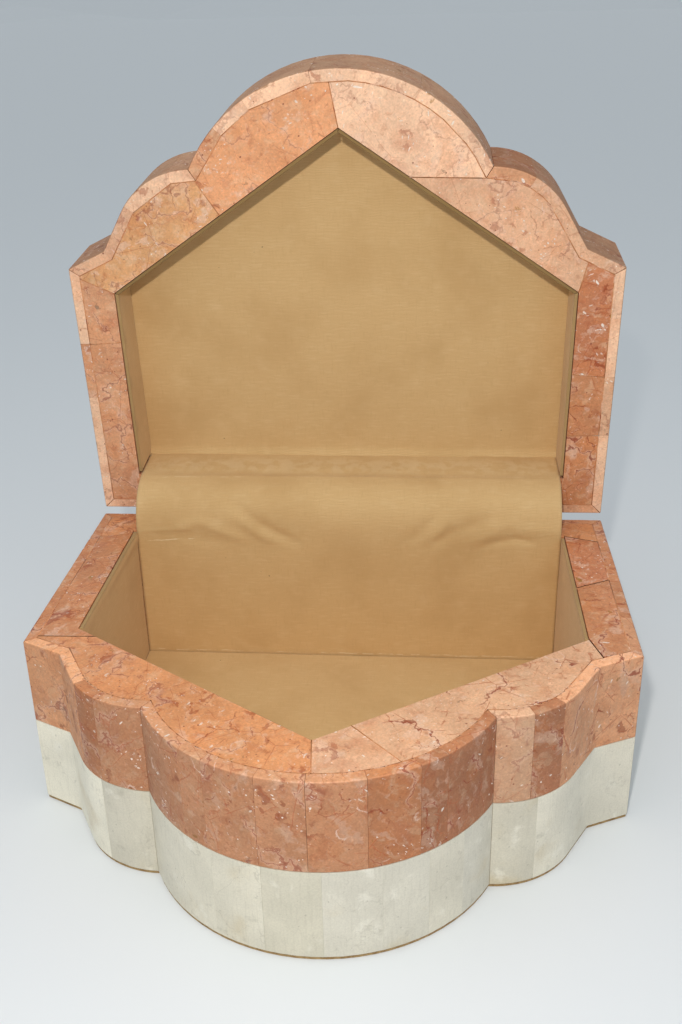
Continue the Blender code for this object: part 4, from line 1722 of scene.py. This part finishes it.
@dataclass
class Studio:
    """Floor, soft lamps and the camera at the photograph's angle."""

    frame_height_px: int = 1024
    focal_px: float = 1107.5
    sensor_mm: float = 36.0
    place: tuple[float, float, float] = (0.04767, -0.4780, 0.37767)
    yaw_deg: float = 4.953
    pitch_deg: float = -24.76
    roll_deg: float = -1.303
    floor_size: float = 120.0
    rim_start: float = 35.0
    rim_slope: float = 0.45
    paper: str = "#E6EBEE"
    sky: str = "#DDE2E6"
    sky_strength: float = 0.30
    zenith_strength: float = 0.62
    lamps: tuple[SoftBox, ...] = (
        SoftBox("camera_lamp", (0.01, -0.50, 0.486), (0.0, 0.05, 0.14), 0.02, 2.1, "#FFF9F2"),
        SoftBox("ceiling_lamp", (-0.15, -0.15, 1.35), (0.0, 0.0, 0.0), 0.90, 1.6),
    )

    def build(self) -> None:
        """Builds floor, lamps, sky and camera, and shows colours as they are."""
        self.add_floor()
        self.add_sky()
        for lamp in self.lamps:
            lamp.build()
        self.add_camera()
        bpy.context.scene.view_settings.view_transform = "Standard"

    def add_floor(self) -> None:
        """A wide sheet of matt white paper, raised far away so that it hides the horizon."""
        bm = bmesh.new()
        bmesh.ops.create_grid(bm, x_segments=60, y_segments=60, size=self.floor_size / 2)
        for vertex in bm.verts:
            vertex.co.z = max(0.0, vertex.co.length - self.rim_start) * self.rim_slope
        mesh = bpy.data.meshes.new("studio_floor")
        bm.to_mesh(mesh)
        bm.free()
        material, _, shader = new_material("matt_white_paper")
        shader.inputs["Base Color"].default_value = linear(self.paper)
        shader.inputs["Roughness"].default_value = 0.9
        shader.inputs["Specular IOR Level"].default_value = 0.1
        mesh.materials.append(material)
        floor = bpy.data.objects.new("studio_floor", mesh)
        bpy.context.scene.collection.objects.link(floor)

    def add_sky(self) -> None:
        """Soft light from all round and more from above, as from a white room's walls and ceiling."""
        world = bpy.data.worlds.new("white_room")
        world.use_nodes = True
        tree = world.node_tree
        background = tree.nodes["Background"]
        background.inputs["Color"].default_value = linear(self.sky)
        way = add_node(tree, "ShaderNodeTexCoord").outputs["Generated"]
        height = add_node(tree, "ShaderNodeSeparateXYZ", {0: way}).outputs["Z"]
        upward = add_node(tree, "ShaderNodeClamp", {"Value": height}).outputs[0]
        ends = {0: upward, 1: self.zenith_strength, 2: self.sky_strength}
        strength = add_node(tree, "ShaderNodeMath", ends, operation="MULTIPLY_ADD").outputs[0]
        tree.links.new(strength, background.inputs["Strength"])
        bpy.context.scene.world = world

    def add_camera(self) -> None:
        """The camera, turned by yaw, pitch and roll from looking along +Y."""
        data = bpy.data.cameras.new("camera")
        data.sensor_fit = "AUTO"
        data.sensor_width = self.sensor_mm
        data.lens = self.focal_px / self.frame_height_px * self.sensor_mm
        data.clip_start = 0.01
        camera = bpy.data.objects.new("camera", data)
        yaw = Matrix.Rotation(math.radians(self.yaw_deg), 4, "Z")
        pitch = Matrix.Rotation(math.radians(90 + self.pitch_deg), 4, "X")
        roll = Matrix.Rotation(math.radians(self.roll_deg), 4, "Z")
        camera.matrix_world = Matrix.Translation(self.place) @ yaw @ pitch @ roll
        bpy.context.scene.collection.objects.link(camera)
        bpy.context.scene.camera = camera


BRIGHT = Character("#EDBA94", 0.45, 0.9, 0.6)
PEACH = Character("#DFA379", 0.7, 0.9, 0.7)
SALMON = Character("#D59265", 0.9, 0.8, 0.8)
ROSE = Character("#CF8860", 1.0, 1.0, 0.9)
ORANGE = Character("#E29D6B", 0.7, 0.6, 0.7)
DUSK = Character("#C5865F", 0.8, 0.8, 0.7)
RIM = Character("#FFD0AB", 0.35, 0.9, 0.6)
VEINED = Character("#E8B791", 1.0, 0.6, 0.6)
GOLD = Character("#EFAA79", 0.45, 0.8, 0.7)
AMBER = Character("#E3AA76", 0.6, 0.8, 0.9)
RUSSET = Character("#D0865C", 1.0, 1.0, 1.0)
BLUSH = Character("#F4C49E", 0.5, 0.8, 0.6)
CLAY = Character("#CB8B64", 0.8, 0.8, 0.8)
LEFT_FACET = Character("#FFBC8A", 0.7, 0.8, 0.7)
RIGHT_FACET = Character("#FFBF91", 0.9, 0.9, 0.7)

BASE_WALLS = {
    "base_wall_back": ORANGE,
    "base_wall_front_left": ORANGE,
    "base_wall_front_middle": BRIGHT,
    "base_wall_front_right": VEINED,
    "base_wall_left_front": SALMON,
    "base_wall_left_rear": SALMON,
    "base_wall_right_front": SALMON,
    "base_wall_right_rear": ROSE,
}
# The darker grounds where the centre and right lobes turn to the right, away from the lamp, are painted
# shade.
BASE_STAVES = {
    "left_lobe": (LEFT_FACET, SALMON, PEACH),
    "centre_lobe": (PEACH, PEACH, PEACH, PEACH, PEACH, SALMON, DUSK, DUSK),
    "right_lobe": (BLUSH, CLAY, RIGHT_FACET),
}
LID_WALLS = {
    "lid_wall_front_left": GOLD,
    "lid_wall_front_right": RIM,
    "lid_wall_right_lobe": BRIGHT,
    "lid_wall_left_lobe": AMBER,
    "lid_wall_left_front": PEACH,
    "lid_wall_left_rear": PEACH,
    "lid_wall_right_front": RUSSET,
    "lid_wall_right_middle": SALMON,
    "lid_wall_right_rear": SALMON,
}
WHITES = (
    Character("#DDD7C5", 0.6, 0.5, 0.5),
    Character("#D9D3BF", 0.3, 0.5, 0.5),
    Character("#E0DAC7", 0.8, 0.5, 0.5),
    Character("#DAD5C5", 0.5, 0.5, 0.5),
)
WHITE_LEFT = Character("#F2ECD8", 0.5, 0.5, 0.5)
WHITE_RIGHT = Character("#E4DECC", 0.5, 0.5, 0.5)
WHITE_LOBE = Character("#D2CCBA", 0.5, 0.5, 0.5)
WHITE_RUNS = {"left_lobe": (WHITE_LEFT, WHITE_LOBE), "right_lobe": (WHITE_LOBE, WHITE_RIGHT)}

# Pale lines along the bends: rubbed threads and painted highlight. The last, 14 mm wide, is painted
# light on the part along the lid.
HINGE_CREASES = (
    Crease(-119, -88, 0.8, 0.06, 0.45, 0.75),
    Crease(-112, -60, 36.5, 0.01, 0.7, 0.28),
    Crease(-40, 112, 37.5, 0.02, 0.6, 0.22),
    Crease(-122, 122, -81.2, 0.0, 0.6, 0.5),
    Crease(-126, 126, 51, 0.0, 14, 0.20),
)


def main() -> None:
    """Dresses the box, piece by piece, and lights it."""
    logging.basicConfig(level=logging.INFO, format="%(name)s %(message)s")
    pink = PinkMarble().material("pink_fossil_marble")
    white = WhiteMarble().material("white_marble")
    cloth = WovenCloth().material("ribbed_lining_cloth")
    base_walls = walls_tree(nodes_of("base_wall"))
    lid_walls = walls_tree(nodes_of("lid_wall"))
    chipped = Edges(exposed=0.9, joint=0.14, chip=1.2)
    even = Edges(exposed=0.5, joint=0.05, gap=0.03)
    tight = Edges(exposed=0.25, joint=0.16, chip=0.6)
    sides = (SALMON, DUSK, PEACH, SALMON, SALMON)
    rims = (PEACH, RIM, BRIGHT, RIM)
    base, lid = Body.BASE, Body.LID
    white_band = StaveBand("base_white", base, Slot.WHITE, white, base_walls, WHITES, 11, even)
    white_band.top_exposed, white_band.foot_exposed = False, True
    white_band.runs = WHITE_RUNS
    white_band.build()
    pink_band = StaveBand("base_pink", base, Slot.BASE_PINK, pink, base_walls, sides, 23, chipped)
    pink_band.runs = BASE_STAVES
    # Outer faces are darker than honed ones: partly the sawn stone's colour, partly painted shade, more
    # so on the lid.
    pink_band.sawn_tint_and_shade = (0.71, 0.67, 0.65)
    pink_band.build()
    lid_band = StaveBand("lid_pink", lid, Slot.LID_PINK, pink, lid_walls, rims, 31, chipped, True, True)
    lid_band.sawn_tint_and_shade = (0.56, 0.50, 0.45)
    lid_band.build()
    SingleStones("base_wall", base, Slot.BASE_PINK, pink, BASE_WALLS, SALMON, 43, tight).build()
    SingleStones("lid_wall", lid, Slot.LID_PINK, pink, LID_WALLS, SALMON, 47, tight).build()
    SingleStones("lid_top", lid, Slot.LID_PINK, pink, {}, PEACH, 53, tight).build()
    for name, half, slot, prefix, start, upward in (
        ("base_rim_joints", base, Slot.BASE_PINK, ("base_wall", "base_pink"), "base_wall", True),
        ("lid_rim_joints", lid, Slot.LID_PINK, ("lid_wall", "lid_pink"), "lid_wall", False),
        ("lid_top_joints", lid, Slot.LID_PINK, ("lid_top", "lid_pink"), "lid_top", True),
    ):
        stones = [node for part in prefix for node in nodes_of(part)]
        JointFill(name, half, slot, pink, tuple(nodes_of(start)), walls_tree(stones), upward).build()
    top_roll = Roll("base_lining_left", (0, 0, 1), (1, 0, 0), 1.0, 3.4, 3.4, loss=0.75)
    back_roll = Roll("lid_lining_ceiling", (0, 1, 0), (0, 0, -1), 3.6, 0.0, 3.2)
    LiningBoards("base_lining", base, cloth, roll=top_roll).build()
    # Painted shade: the boards under the lid's point are darkened all over.
    shaded_under_point = ("lid_lining_front_left", "lid_lining_front_right")
    LiningBoards("lid_lining", lid, cloth, roll=back_roll, painted_shade_boards=shaded_under_point).build()
    HingeCloth(WovenCloth(HINGE_CREASES).material("hinge_lining_cloth")).build()
    FootBoard(FibreBoard().material("brown_fibre_board")).build()
    Hinges(AgedBrass().material("aged_brass")).build()
    Studio().build()


if __name__ == "__main__":
    main()
